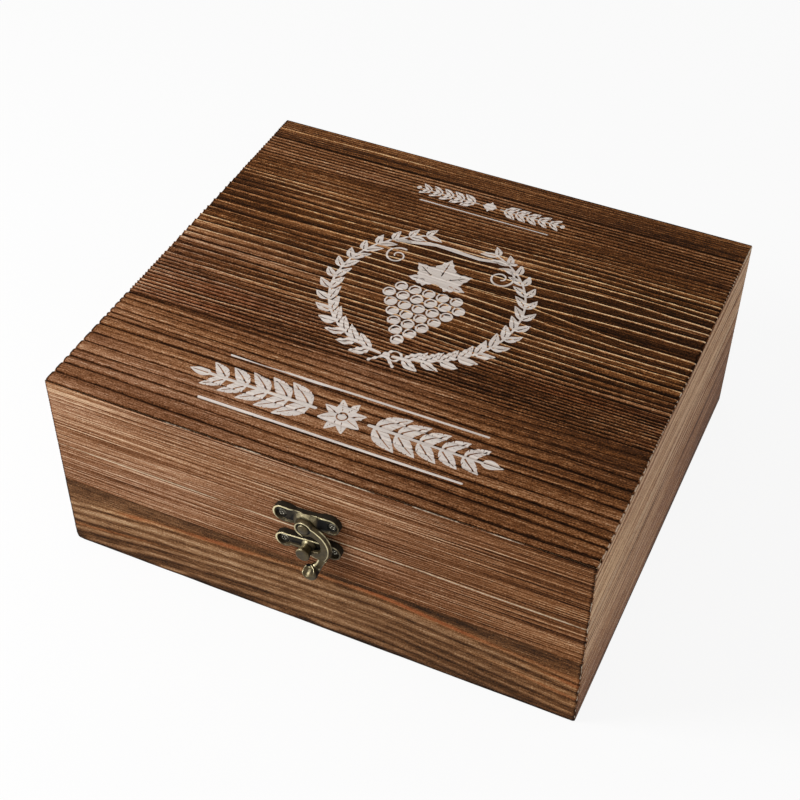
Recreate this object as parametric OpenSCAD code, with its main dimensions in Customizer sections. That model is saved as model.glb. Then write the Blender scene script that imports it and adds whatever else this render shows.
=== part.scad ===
// Hinged wooden keepsake box with a swing hook latch.
// Six boards are mitred along every edge, glued up closed and then sawn into a base and a lid.
// Millimetres. The origin is the centre of the underside, +Z is up, the latch is on the -Y side.

/* [Box] */
// Outside width, left to right
body_w = 240; // [180:1:320]
// Outside depth, front to back
body_d = 214; // [160:1:300]
// Height of the base, up to the saw cut
base_h = 60.7; // [56:0.1:90]
// Height of the lid, down to the saw cut
lid_h = 36; // [30:0.5:60]
// Gap that the saw cut leaves between the closed rims
saw_gap = 0.3; // [0.2:0.05:0.6]
// Thickness of the four walls
wall_t = 9; // [8:0.5:14]
// Thickness of the lid's top panel
top_t = 9; // [6:0.5:14]

/* [Glue lines] */
// Height of the glue line between the two strips of the front board
front_glue_h = 39.4; // [20:0.1:42]
// Width of the strip along the back of the top panel
top_back_strip_w = 15; // [12:0.5:40]
// Width of the strip along the front of the top panel
top_front_strip_w = 65; // [20:0.5:90]

/* [Bottom panel] */
// Thickness of the bottom panel, and depth of its rabbet
bottom_t = 4; // [3:0.5:8]
// How far the rabbet reaches into each wall
rabbet_w = 5; // [3:0.5:6]
// Clearance between the bottom panel's edge and the rabbet
panel_clearance = 0.2; // [0.1:0.05:0.5]

/* [Screws] */
// Radius of a screw's shank, and of its pilot hole in the wood
screw_r = 1.1; // [0.8:0.05:1.4]
// Radius of a screw's head
screw_head_r = 2.1; // [1.8:0.05:2.4]
// Height of a screw's head
screw_head_h = 0.9; // [0.6:0.05:1.2]
// Depth that a screw reaches into the wood
screw_depth = 6.5; // [4:0.5:7]
// Clearance of a screw's shank in the metal
screw_clearance = 0.15; // [0.05:0.05:0.3]

/* [Latch plates] */
// Distance of the latch from the middle of the front, to the right
latch_x = 0.8; // [-40:0.1:40]
// Height of the rivet above the saw cut
rivet_rise = 7; // [6:0.1:12]
// Depth of the catch post below the saw cut
post_drop = 5.9; // [4:0.1:9]
// How far the upper plate leans, anticlockwise
latch_tilt = 3.5; // [-6:0.5:6]
// How far the lower plate leans, anticlockwise
catch_tilt = 5; // [-6:0.5:6]
// Half the length of both plates
plate_half = 14.9; // [13:0.1:18]
// Thickness of both plates at the rim
plate_t = 3; // [2.5:0.1:4]
// Width of the raised rim
rim_w = 0.9; // [0.6:0.1:1.2]
// Depth of the dished fields inside the rim
dish_depth = 1.2; // [0.6:0.1:1.4]
// Radius of the upper plate's lobes
latch_lobe_r = 4.25; // [3.9:0.05:5]
// Height of the upper plate's lobes above the rivet
latch_top = 7; // [6:0.1:8]
// Height of the upper plate's saddle above the rivet
latch_saddle = 6; // [4:0.1:6.5]
// Radius of the round boss under the hook's eye
latch_boss_r = 5.6; // [5:0.1:6]
// Rise of that boss above the rim
boss_rise = 0.4; // [0.2:0.1:0.6]
// Radius of the lower plate's lobes
catch_lobe_r = 3.85; // [3.6:0.05:4.2]
// Height of the lower plate's top edge above the post
catch_top = 4.3; // [3.8:0.1:5]
// Depth of the lower plate's bar below the post
catch_bottom = 2; // [1.4:0.1:2.6]
// Radius of the round swell of the lower plate around the post
catch_swell_r = 4.2; // [3.8:0.1:4.8]

/* [Catch post] */
// Radius of the post's waist, where the hook catches it
post_waist_r = 2.3; // [1.8:0.1:2.5]
// Radius of the post's flared end
post_head_r = 2.9; // [2.6:0.1:3.4]
// Radius of the post's foot
post_foot_r = 3.1; // [2.6:0.1:3.2]
// Height of the post above the wood
post_h = 8.2; // [7.8:0.1:10]

/* [Swing hook] */
// Thickness of the hook
hook_t = 2.2; // [1.6:0.1:2.4]
// Gap between the hook and what it turns against
hook_gap = 0.2; // [0.1:0.05:0.3]
// Radius of the eye around the rivet
eye_r = 4.3; // [3.8:0.1:4.8]
// Radius of the hook's outer curve
bow_r = 10.9; // [10.5:0.1:11.5]
// Radius of the hollow inside the bow
throat_r = 4.8; // [4.2:0.1:5]
// Radial gap between the beak and the post
beak_gap = 0.3; // [0.2:0.05:0.5]
// Radius of the thumb tab
tab_r = 3.5; // [3:0.1:4]
// Height of the thumb tab above the hook's back face
tab_h = 4.8; // [3.5:0.1:5.5]
// Radius of the rivet's shank
rivet_r = 1.5; // [1.2:0.05:1.8]
// Radius of the rivet's head
rivet_head_r = 2.5; // [2.2:0.1:3]
// Height of the rivet's head
rivet_head_h = 1; // [0.6:0.1:1.2]
// Radial running clearance of every turning pin
pin_clearance = 0.05; // [0.02:0.01:0.1]

/* [Hinges] */
// Distance of each hinge's middle from the end of the box
hinge_inset = 45; // [35:1:60]
// Length of a hinge along its pin
hinge_w = 30; // [24:1:50]
// Height of one leaf, from the pin's axis
leaf_h = 13; // [12:0.5:20]
// Thickness of a leaf
leaf_t = 1; // [0.8:0.1:1.2]
// Radius of a leaf's outer corners
leaf_corner_r = 2; // [1:0.5:3]
// Outer radius of the knuckles
knuckle_r = 2; // [1.8:0.1:2.4]
// Radius of the hinge pins
hinge_pin_r = 0.9; // [0.7:0.05:1.1]
// Gap between neighbouring knuckles, and between a knuckle and the wood
knuckle_gap = 0.2; // [0.1:0.05:0.4]
// Number of knuckles on one hinge
knuckles = 5; // [3:2:7]
// Distance of a leaf's screws from the leaf's outer edges
leaf_screw_inset = 4.5; // [4:0.5:6]
// Angle at which the hinges stop the lid
stop_angle = 105; // [90:1:120]
// Reach of the stop lugs past the knuckles
lug_reach = 1.8; // [1.2:0.1:2.5]

/* [Hidden] */
$fn = 64;

body_h = base_h + saw_gap + lid_h;
saw_z = base_h + saw_gap / 2;
lid_z = base_h + saw_gap;

// What a cutting tool reaches past the surface that it cuts.
over = 1;

// A screw stands low in its lobe, with its head just clear of the rim.
screw_angle = -50;
head_clearance = 0.1;

function screw_place(lobe, lobe_r) =
    lobe
    + (lobe_r - rim_w - screw_head_r - head_clearance) * [cos(screw_angle), sin(screw_angle)];

// A screw's slots, its point and the flat on its head, as shares of the head and the shank.
slot_w = screw_head_r / 4;
slot_l = screw_head_r * 1.3;
slot_d = screw_head_h * 0.6;
point_l = screw_r * 1.5;
point_r = screw_r / 5;
head_flat_r = screw_head_r * 0.75;

// Each lobe of the upper plate has a smaller ear on its inner side.
ear_share = 0.75;

// The latch plates: heights are measured out from the wood.
dish_z = plate_t - dish_depth;
boss_z = plate_t + boss_rise;
hook_z = boss_z + hook_gap;
hook_top = hook_z + hook_t;
rivet_z = saw_z + rivet_rise;
post_z = saw_z - post_drop;
latch_lobe = [plate_half - latch_lobe_r, latch_top - latch_lobe_r];
latch_ear_r = ear_share * latch_lobe_r;
latch_ear = [latch_lobe.x - latch_ear_r, latch_top - latch_ear_r];
latch_screw = screw_place(latch_lobe, latch_lobe_r);
catch_lobe = [plate_half - catch_lobe_r, catch_top - catch_lobe_r];
catch_screw = screw_place(catch_lobe, catch_lobe_r);

// The flat on the rivet's head.
rivet_flat_r = rivet_head_r * 0.8;

// The post's flared end: a gap above the hook, a straight rim and a chamfer.
flare_z = hook_top + 0.4;
flare_rim_h = 0.4;
flare_chamfer = 0.3;

// The hook, in a frame with the rivet at its origin.
post_at = [0.3, post_z - rivet_z];
bow_at = [1.1, 2.3 - bow_r];
throat_at = [2.4, 1.2 - 2 * throat_r];
tab_at = [3, -23.4];

// The stretches of the hook's three arcs in degrees, and the angle between their points.
bow_span = [95, -38];
beak_span = [-52, 12];
throat_span = [-42, 100];
arc_step = 5;

// The neck between the bow and the tab: its right edge, then its left edge up to the beak.
neck_right = [[7.6, -19.8], tab_at + [tab_r, 0]];
neck_left = [[2.6, -20.2], [5, -18.8], [6.1, -15.8], [4.3, -15.7]];

// The hollow that the thumb rests in: its centre from the tab's, and its depth in the hook.
scoop_from_tab = [-0.7, 1.9];
scoop_depth = 0.4;

// The hinges: heights are measured out from the wood.
hinge_x = body_w / 2 - hinge_inset;
pin_z = knuckle_r + knuckle_gap;
relief_r = pin_z + knuckle_gap;
knuckle_pitch = hinge_w / knuckles;
lug_t = 1.1;
lug_gap = 0.05;
lug_inset = 0.4;

// The mitre between two walls, seen from above, as a board of the given length along X.
module mitred_outline(length) {
    polygon([
        [-length / 2, 0],
        [length / 2, 0],
        [length / 2 - wall_t, wall_t],
        [-length / 2 + wall_t, wall_t]
    ]);
}

// One wall of the base, standing on Z = 0 with its outer face on Y = 0, rabbeted for the bottom.
module base_wall(length) {
    difference() {
        linear_extrude(base_h) mitred_outline(length);
        translate([-length / 2, wall_t - rabbet_w, -over])
            cube([length, rabbet_w + over, bottom_t + over]);
    }
}

// One wall of the lid, with its outer face on Y = 0, mitred to its neighbours and to the top panel.
module lid_wall(length) {
    intersection() {
        translate([0, 0, lid_z]) linear_extrude(lid_h) mitred_outline(length);
        translate([-length / 2, 0, 0])
            rotate([90, 0, 90])
                linear_extrude(length)
                    polygon([[0, 0], [0, body_h], [wall_t, body_h - top_t], [wall_t, 0]]);
    }
}

// The section of the top panel across a side of the given length, standing on Y = 0.
module top_section(length) {
    polygon([
        [-length / 2, body_h],
        [length / 2, body_h],
        [length / 2 - wall_t, body_h - top_t],
        [-length / 2 + wall_t, body_h - top_t]
    ]);
}

// The whole top panel, mitred on all four edges.
module top_panel() {
    intersection() {
        translate([0, body_d / 2, 0])
            rotate([90, 0, 0])
                linear_extrude(body_d) top_section(body_w);
        translate([-body_w / 2, 0, 0])
            rotate([90, 0, 90])
                linear_extrude(body_w) top_section(body_d);
    }
}

// A strip of the top panel between two distances from the front.
module top_strip(from, to) {
    intersection() {
        top_panel();
        translate([-body_w / 2, -body_d / 2 + from, body_h - top_t])
            cube([body_w, to - from, top_t]);
    }
}

module at_front() {
    translate([0, -body_d / 2, 0]) children();
}

module at_back() {
    translate([0, body_d / 2, 0]) rotate([0, 0, 180]) children();
}

module at_left() {
    translate([-body_w / 2, 0, 0]) rotate([0, 0, -90]) children();
}

module at_right() {
    translate([body_w / 2, 0, 0]) rotate([0, 0, 90]) children();
}

// Puts a fitting on the front face: its X runs right, its Y up and its Z out of the wood.
module on_front(x, z, tilt) {
    translate([x, -body_d / 2, z]) rotate([90, 0, 0]) rotate([0, 0, tilt]) children();
}

// Puts a fitting on the back face at the saw cut: its Y runs up and its Z out of the wood.
module on_back(x) {
    translate([x, body_d / 2, saw_z]) rotate([90, 0, 180]) children();
}

// A cross-slot screw whose head stands on Z = 0.
module screw(depth) {
    difference() {
        union() {
            translate([0, 0, point_l - depth]) cylinder(h = depth - point_l, r = screw_r);
            translate([0, 0, -depth]) cylinder(h = point_l, r1 = point_r, r2 = screw_r);
            cylinder(h = screw_head_h, r1 = screw_head_r, r2 = head_flat_r);
        }
        for (turn = [45, 135])
            rotate([0, 0, turn])
                translate([-slot_l / 2, -slot_w / 2, screw_head_h - slot_d])
                    cube([slot_l, slot_w, slot_d + over]);
    }
}

// The pilot hole of such a screw, from the wood's face inwards.
module pilot() {
    translate([0, 0, -screw_depth]) cylinder(h = screw_depth + over, r = screw_r);
}

module latch_at() {
    on_front(latch_x, rivet_z, latch_tilt) children();
}

module catch_at() {
    on_front(latch_x + post_at.x, post_z, catch_tilt) children();
}

module both_sides(at) {
    for (side = [-1, 1])
        translate([side * at.x, at.y, 0]) children();
}

// The lobes of the upper plate, drawn in by the given width.
module latch_lobes(inset) {
    both_sides(latch_lobe) circle(latch_lobe_r - inset);
    both_sides(latch_ear) circle(latch_ear_r - inset);
}

// The lobes and straight top edge of the lower plate, drawn in by the given width.
module catch_field(inset) {
    both_sides(catch_lobe) circle(catch_lobe_r - inset);
    translate([-catch_lobe.x, inset - catch_bottom])
        square([2 * catch_lobe.x, catch_top + catch_bottom - 2 * inset]);
}

// One leaf on the back face: its outer edge is down, its knuckles are round the X axis.
module leaf_blank() {
    half = hinge_w / 2 - leaf_corner_r;
    linear_extrude(leaf_t) {
        translate([-hinge_w / 2, leaf_corner_r - leaf_h]) square([hinge_w, leaf_h - leaf_corner_r]);
        translate([-half, -leaf_h]) square([2 * half, leaf_h]);
        for (side = [-1, 1])
            translate([side * half, leaf_corner_r - leaf_h]) circle(leaf_corner_r);
    }
}

// A round bar along one knuckle's stretch of the pin, longer by the given amount at each end.
module knuckle_bar(number, r, extra) {
    start = -hinge_w / 2 + number * knuckle_pitch + knuckle_gap / 2 - extra;
    translate([start, 0, pin_z])
        rotate([0, 90, 0])
            cylinder(h = knuckle_pitch - knuckle_gap + 2 * extra, r = r);
}

module leaf_screws_at() {
    for (side = [-1, 1])
        translate([side * (hinge_w / 2 - leaf_screw_inset), leaf_screw_inset - leaf_h, 0])
            children();
}

// The lug on one of the lid's knuckles, which meets the other leaf's face at the stop angle.
module stop_lug(number) {
    start = -hinge_w / 2 + number * knuckle_pitch + knuckle_gap / 2 + lug_inset;
    translate([start, 0, pin_z])
        rotate([stop_angle, 0, 0])
            translate([0, 0, leaf_t + lug_gap - pin_z])
                cube([knuckle_pitch - knuckle_gap - 2 * lug_inset, knuckle_r + lug_reach, lug_t]);
}

// A leaf that carries every other knuckle from the given one on, bored for the pin.
module leaf(first, bore_r, has_lugs) {
    own = [for (i = [first : 2 : knuckles - 1]) i];
    other = [for (i = [1 - first : 2 : knuckles - 1]) i];
    difference() {
        union() {
            difference() {
                leaf_blank();
                for (i = other) knuckle_bar(i, relief_r, knuckle_gap);
            }
            for (i = own) knuckle_bar(i, knuckle_r, 0);
            if (has_lugs) for (i = own) stop_lug(i);
        }
        translate([-hinge_w / 2 - over, 0, pin_z])
            rotate([0, 90, 0])
                cylinder(h = hinge_w + 2 * over, r = bore_r);
        leaf_screws_at()
            translate([0, 0, -over]) cylinder(h = leaf_t + 2 * over, r = screw_r + screw_clearance);
    }
}

module base_leaf(x) {
    on_back(x) leaf(0, hinge_pin_r, false);
}

module lid_leaf(x) {
    on_back(x) mirror([0, 1, 0]) leaf(1, hinge_pin_r + pin_clearance, true);
}

module hinge_pin(x) {
    on_back(x)
        translate([-hinge_w / 2, 0, pin_z]) rotate([0, 90, 0]) cylinder(h = hinge_w, r = hinge_pin_r);
}

module all_leaf_screws(up) {
    for (side = [-1, 1])
        on_back(side * hinge_x)
            mirror([0, up, 0]) leaf_screws_at() children();
}

module base_front_upper_strip() {
    color("#8a5f43")
        difference() {
            intersection() {
                at_front() base_wall(body_w);
                translate([-body_w / 2, -body_d / 2, front_glue_h])
                    cube([body_w, wall_t, base_h - front_glue_h]);
            }
            catch_at() both_sides(catch_screw) pilot();
        }
}

module base_front_lower_strip() {
    color("#7a5a3e")
        intersection() {
            at_front() base_wall(body_w);
            translate([-body_w / 2, -body_d / 2, 0]) cube([body_w, wall_t, front_glue_h]);
        }
}

module base_back_board() {
    color("#7d583d")
        difference() {
            at_back() base_wall(body_w);
            all_leaf_screws(0) pilot();
        }
}

module base_left_board() {
    color("#83614a") at_left() base_wall(body_d);
}

module base_right_board() {
    color("#83614a") at_right() base_wall(body_d);
}

module bottom_panel() {
    inset = wall_t - rabbet_w + panel_clearance;
    size = [body_w - 2 * inset, body_d - 2 * inset];
    color("#c9a878")
        translate([-size.x / 2, -size.y / 2, 0]) cube([size.x, size.y, bottom_t]);
}

module top_back_strip() {
    color("#4a2d1a") top_strip(body_d - top_back_strip_w, body_d);
}

module top_middle_strip() {
    color("#3f2413") top_strip(top_front_strip_w, body_d - top_back_strip_w);
}

module top_front_strip() {
    color("#6b4429") top_strip(0, top_front_strip_w);
}

module lid_front_rail() {
    color("#8a5f43")
        difference() {
            at_front() lid_wall(body_w);
            latch_at() both_sides(latch_screw) pilot();
        }
}

module lid_back_rail() {
    color("#7d583d")
        difference() {
            at_back() lid_wall(body_w);
            all_leaf_screws(1) pilot();
        }
}

module lid_left_rail() {
    color("#83614a") at_left() lid_wall(body_d);
}

module lid_right_rail() {
    color("#83614a") at_right() lid_wall(body_d);
}

module latch_plate() {
    color("#6b6245")
        latch_at()
            difference() {
                union() {
                    linear_extrude(plate_t) {
                        latch_lobes(0);
                        translate([-latch_lobe.x, latch_top - 2 * latch_lobe_r])
                            square([2 * latch_lobe.x, latch_saddle - latch_top + 2 * latch_lobe_r]);
                    }
                    cylinder(h = boss_z, r = latch_boss_r);
                }
                translate([0, 0, dish_z])
                    linear_extrude(dish_depth + over)
                        difference() {
                            latch_lobes(rim_w);
                            circle(latch_boss_r);
                        }
                both_sides(latch_screw)
                    translate([0, 0, -over])
                        cylinder(h = plate_t + 2 * over, r = screw_r + screw_clearance);
                translate([0, 0, -over]) cylinder(h = boss_z + 2 * over, r = rivet_r);
            }
}

module latch_rivet() {
    color("#7c7250")
        latch_at() {
            cylinder(h = hook_top + hook_gap, r = rivet_r);
            translate([0, 0, hook_top + hook_gap])
                cylinder(h = rivet_head_h, r1 = rivet_head_r, r2 = rivet_flat_r);
        }
}

module latch_screws() {
    color("#54503a")
        latch_at() both_sides(latch_screw) translate([0, 0, dish_z]) screw(screw_depth + dish_z);
}

module catch_plate() {
    color("#6b6245")
        catch_at()
            difference() {
                linear_extrude(plate_t) {
                    catch_field(0);
                    circle(catch_swell_r);
                }
                translate([0, 0, dish_z])
                    linear_extrude(dish_depth + over) {
                        catch_field(rim_w);
                        circle(catch_swell_r - rim_w);
                    }
                both_sides(catch_screw)
                    translate([0, 0, -over])
                        cylinder(h = plate_t + 2 * over, r = screw_r + screw_clearance);
                translate([0, 0, -over]) cylinder(h = plate_t + 2 * over, r = rivet_r);
            }
}

// The post is turned: a foot on the plate, a waist for the hook and a flared end.
module catch_post() {
    color("#7c7250")
        catch_at()
            rotate_extrude()
                polygon([
                    [0, 0],
                    [rivet_r, 0],
                    [rivet_r, dish_z],
                    [post_foot_r, dish_z],
                    [post_waist_r, hook_z - hook_gap],
                    [post_waist_r, flare_z],
                    [post_head_r, post_h - flare_chamfer - flare_rim_h],
                    [post_head_r, post_h - flare_chamfer],
                    [post_head_r - flare_chamfer, post_h],
                    [0, post_h]
                ]);
}

module catch_screws() {
    color("#54503a")
        catch_at() both_sides(catch_screw) translate([0, 0, dish_z]) screw(screw_depth + dish_z);
}

function arc(centre, r, span) =
    let (steps = ceil(abs(span[1] - span[0]) / arc_step))
    [for (i = [0 : steps])
        let (a = span[0] + (span[1] - span[0]) * i / steps)
        centre + r * [cos(a), sin(a)]];

// The bow, neck, beak and throat of the hook, clockwise from the top of the eye.
module hook_outline() {
    polygon(concat(
        arc(bow_at, bow_r, bow_span),
        neck_right,
        neck_left,
        arc(post_at, post_waist_r + beak_gap, beak_span),
        arc(throat_at, throat_r, throat_span)
    ));
    circle(eye_r);
    translate(tab_at) circle(tab_r);
}

module swing_hook() {
    color("#80764f")
        on_front(latch_x, rivet_z, 0)
            translate([0, 0, hook_z])
                difference() {
                    union() {
                        linear_extrude(hook_t) hook_outline();
                        translate(tab_at) cylinder(h = tab_h, r = tab_r);
                    }
                    translate([0, 0, -over]) cylinder(h = hook_t + 2 * over, r = rivet_r + pin_clearance);
                    translate([0, 0, hook_t + tab_r - scoop_depth])
                        translate(tab_at + scoop_from_tab) sphere(tab_r);
                }
}

module left_hinge_base_leaf() {
    color("#6b6245") base_leaf(-hinge_x);
}

module right_hinge_base_leaf() {
    color("#6b6245") base_leaf(hinge_x);
}

module left_hinge_lid_leaf() {
    color("#6b6245") lid_leaf(-hinge_x);
}

module right_hinge_lid_leaf() {
    color("#6b6245") lid_leaf(hinge_x);
}

module left_hinge_pin() {
    color("#7c7250") hinge_pin(-hinge_x);
}

module right_hinge_pin() {
    color("#7c7250") hinge_pin(hinge_x);
}

module hinge_base_screws() {
    color("#54503a") all_leaf_screws(0) translate([0, 0, leaf_t]) screw(screw_depth + leaf_t);
}

module hinge_lid_screws() {
    color("#54503a") all_leaf_screws(1) translate([0, 0, leaf_t]) screw(screw_depth + leaf_t);
}

base_front_upper_strip();
base_front_lower_strip();
base_back_board();
base_left_board();
base_right_board();
bottom_panel();
top_back_strip();
top_middle_strip();
top_front_strip();
lid_front_rail();
lid_back_rail();
lid_left_rail();
lid_right_rail();
latch_plate();
latch_rivet();
latch_screws();
catch_plate();
catch_post();
catch_screws();
swing_hook();
left_hinge_base_leaf();
right_hinge_base_leaf();
left_hinge_lid_leaf();
right_hinge_lid_leaf();
left_hinge_pin();
right_hinge_pin();
hinge_base_screws();
hinge_lid_screws();
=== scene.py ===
import functools
import math

import bpy
import numpy as np
from mathutils import Matrix, Vector


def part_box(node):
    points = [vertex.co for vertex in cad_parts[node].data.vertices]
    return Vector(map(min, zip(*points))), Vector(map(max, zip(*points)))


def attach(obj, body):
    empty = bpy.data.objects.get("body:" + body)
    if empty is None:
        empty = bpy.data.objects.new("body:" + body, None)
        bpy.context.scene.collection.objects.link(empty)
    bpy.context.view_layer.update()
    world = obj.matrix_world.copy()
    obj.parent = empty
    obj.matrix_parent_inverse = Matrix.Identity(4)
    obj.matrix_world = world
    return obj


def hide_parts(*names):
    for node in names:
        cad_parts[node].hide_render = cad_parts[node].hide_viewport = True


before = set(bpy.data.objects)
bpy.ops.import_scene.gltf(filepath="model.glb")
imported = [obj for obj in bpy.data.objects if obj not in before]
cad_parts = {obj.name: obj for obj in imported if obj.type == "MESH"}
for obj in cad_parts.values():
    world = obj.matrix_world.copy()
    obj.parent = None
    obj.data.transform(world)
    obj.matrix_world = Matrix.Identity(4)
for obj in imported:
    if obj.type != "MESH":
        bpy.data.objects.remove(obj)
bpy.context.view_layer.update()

# Lengths are in millimetres up to the point where a mesh is made. The origin is the middle of the
# box's underside, X runs right as the latch is faced, Y from the latch to the hinges, Z up.
W, D, H = 240.0, 214.0, 97.0
# The saw cut's two sides and its middle, and the front's glue line.
SAW_LOW, SAW_HIGH, GLUE_H = 60.7, 61.0, 39.4
SAW = (SAW_LOW + SAW_HIGH) / 2
# How thick the walls and the bottom panel are.
WALL, BOTTOM = 9, 4
# The lid's two glue lines, from the back edge.
BACK_SEAM, FRONT_SEAM = 15, 149
TABLES = [np.random.RandomState(seed).rand(256, 256) * 2 - 1 for seed in range(20)]


def noise(x, y, seed):
    """Smooth noise from -1 to 1, with one new value at each whole number of x and y."""
    x, y = np.broadcast_arrays(x, y)
    lot = TABLES[seed]
    i, j = np.floor(x).astype(int), np.floor(y).astype(int)
    fx, fy = x - i, y - j
    fx, fy = fx * fx * (3 - 2 * fx), fy * fy * (3 - 2 * fy)
    a, b, i2, j2 = i % 256, j % 256, (i + 1) % 256, (j + 1) % 256
    return toward(toward(lot[a, b], lot[i2, b], fx), toward(lot[a, j2], lot[i2, j2], fx), fy)


def waves(x, y, *terms):
    """The sum of noises, each given by its height, its length along x and along y, and its seed."""
    return sum(much * noise(x / long, y / wide, seed) for much, long, wide, seed in terms)


def of_ring(ring, seed):
    """A number from -1 to 1 for each ring."""
    return TABLES[seed][7, ring.astype(int) % 256]


def toward(a, b, share):
    """The value this share of the way from a to b."""
    return a + (b - a) * share


def unit(x):
    """x held between 0 and 1."""
    return np.clip(x, 0, 1)


def ramp(x, low, high):
    """A smooth rise from 0 at low to 1 at high."""
    t = unit((x - low) / (high - low))
    return t * t * (3 - 2 * t)


def fall(x, low, high):
    """A smooth fall from 1 at low to 0 at high."""
    return 1 - ramp(x, low, high)


def bump(x, half):
    """A bell round 0."""
    return np.exp(-((x / half) ** 2))


def grid(u, v):
    """A row of places along the grain and a column of places across it."""
    return np.asarray(u, float)[None, :], np.asarray(v, float)[:, None]


# Where the growth rings of the lid's middle cross seven places along the grain, from the back edge.
RING_U = [0, 60, 110, 160, 185, 210, 240]
RINGS = [
    [47.0, 47.6, 48.0, 47.6, 47.0, 47.2, 48.0],
    [50.1, 50.9, 51.1, 50.0, 49.7, 50.2, 51.1],
    [54.1, 54.8, 54.5, 53.4, 53.0, 53.6, 54.0],
    [57.6, 58.2, 57.9, 56.6, 56.2, 56.9, 57.4],
    [62.2, 63.0, 61.8, 60.4, 59.9, 59.7, 61.0],
    [67.8, 67.7, 66.8, 66.2, 64.3, 65.0, 66.3],
    [73.2, 73.1, 72.5, 71.2, 70.4, 70.3, 70.6],
    [79.0, 79.6, 78.0, 77.2, 76.4, 75.7, 75.4],
    [82.5, 83.0, 83.3, 83.5, 82.5, 81.7, 81.6],
    [82.6, 83.1, 83.4, 84.6, 88.0, 89.8, 90.8],
    [85.7, 86.6, 88.4, 91.2, 93.7, 94.9, 95.4],
    [90.5, 91.0, 92.8, 96.8, 98.7, 99.4, 99.7],
    [96.0, 96.6, 97.6, 101.8, 103.0, 103.3, 103.5],
    [100.3, 100.9, 101.8, 104.8, 105.6, 106.4, 106.8],
    [104.5, 104.9, 105.4, 108.3, 109.0, 109.6, 110.0],
    [109.4, 110.2, 110.6, 112.7, 113.4, 114.4, 115.0],
    [113.3, 113.9, 114.3, 116.9, 117.4, 117.8, 118.2],
    [117.1, 117.6, 117.9, 119.9, 120.5, 121.2, 121.7],
    [119.8, 120.4, 120.8, 123.3, 123.8, 124.0, 124.2],
    [122.4, 123.1, 123.6, 125.7, 126.6, 127.0, 127.2],
]
# Where the grooves of the lid's front strip cross the same places.
GROOVES = [
    [149.0, 149.0, 149.0, 149.0, 149.0, 149.0, 149.0],
    [149.6, 150.8, 151.9, 153.2, 153.2, 152.4, 152.6],
    [153.5, 154.2, 155.2, 156.9, 157.0, 156.4, 156.2],
    [156.8, 158.0, 159.4, 160.8, 160.9, 160.3, 160.5],
    [161.0, 162.4, 163.7, 164.9, 165.5, 164.8, 165.0],
    [164.4, 166.1, 168.7, 170.2, 170.8, 170.6, 171.0],
    [167.3, 168.2, 169.4, 170.6, 171.1, 170.9, 171.3],
    [173.0, 172.6, 174.8, 175.9, 176.1, 176.0, 176.6],
    [179.4, 178.9, 179.9, 180.6, 180.6, 180.9, 182.3],
    [185.2, 185.6, 185.8, 186.5, 187.2, 187.4, 188.0],
    [191.0, 191.4, 191.7, 192.0, 192.5, 192.9, 193.9],
    [195.7, 196.0, 196.4, 196.6, 197.1, 197.5, 198.4],
    [200.5, 200.9, 201.6, 201.1, 201.7, 202.2, 202.3],
    [206.6, 207.3, 208.2, 208.3, 208.8, 209.0, 208.6],
    [213.3, 213.3, 213.2, 213.2, 213.3, 213.4, 213.2],
    [218.0, 218.0, 218.0, 218.0, 218.0, 218.0, 218.0],
]
# How wide the other rings are, by their place across the grain, and where those two sets of them end.
PITCH_V = [0, 8, 14, 15.2, 17, 30, 34, 47, 122, 130, 134, 149]
PITCH = [1.5, 1.5, 1.8, 2.0, 2.1, 2.15, 2.3, 2.4, 2.6, 2.1, 1.9, 2.1]
FIRST_RING, SEAM_RING, BACK_END, FRONT_START = -3, 15.2, 47.4, 125.4
# Across the grain: burn beside a ridge's bright line, burn before the next, the line's burn and
# width, the share of a ring that is groove, warmth, and depth.
LOOK = np.array([
    [0, 0.52, 0.80, 0.38, 0.32, 0.30, 0.95, 0.14],
    [9, 0.56, 0.84, 0.42, 0.32, 0.30, 0.85, 0.14],
    [14.8, 0.66, 0.90, 0.52, 0.32, 0.30, 0.8, 0.14],
    [16, 0.36, 1.05, 0.16, 0.34, 0.50, 0.5, 0.42],
    [30, 0.40, 1.05, 0.20, 0.34, 0.50, 0.55, 0.42],
    [34, 0.55, 0.98, 0.34, 0.34, 0.45, 0.75, 0.32],
    [46, 0.56, 0.95, 0.24, 0.34, 0.40, 0.85, 0.30],
    [52, 0.72, 0.88, -0.22, 0.34, 0.40, 0.8, 0.36],
    [70, 0.73, 0.85, -0.42, 0.35, 0.30, 0.8, 0.44],
    [100, 0.73, 0.85, -0.42, 0.35, 0.30, 0.8, 0.44],
    [120, 0.64, 0.96, -0.16, 0.34, 0.40, 0.75, 0.44],
    [130, 0.42, 1.12, 0.22, 0.34, 0.48, 0.5, 0.44],
    [147, 0.39, 1.06, 0.22, 0.34, 0.46, 0.4, 0.46],
    [151, 0.36, 0.90, 0.26, 0.50, 0.36, 0.30, 0.48],
    [168, 0.36, 0.90, 0.30, 0.50, 0.32, 0.22, 0.52],
    [214, 0.36, 0.96, 0.34, 0.50, 0.24, 0.12, 0.60],
])


def smooth(places, values, at):
    """A curve through the values that has no corners."""
    fine = np.linspace(places[0], places[-1], 97)
    line = np.interp(fine, places, values)
    kernel = np.array([1, 2, 3, 4, 3, 2, 1]) / 16
    line = np.convolve(np.pad(line, 3, mode="reflect", reflect_type="odd"), kernel, "valid")
    return np.interp(at, fine, line)


def rings_between(start, stop):
    """Ring edges from start to stop, as far apart as the pitches say there."""
    fine = np.linspace(start, stop, 2000)
    count = np.concatenate([[0], np.cumsum(1 / np.interp(fine[:-1], PITCH_V, PITCH)) * (fine[1] - fine[0])])
    whole = max(1, round(count[-1]))
    return np.interp(np.arange(1, whole), count * whole / count[-1], fine)


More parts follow.
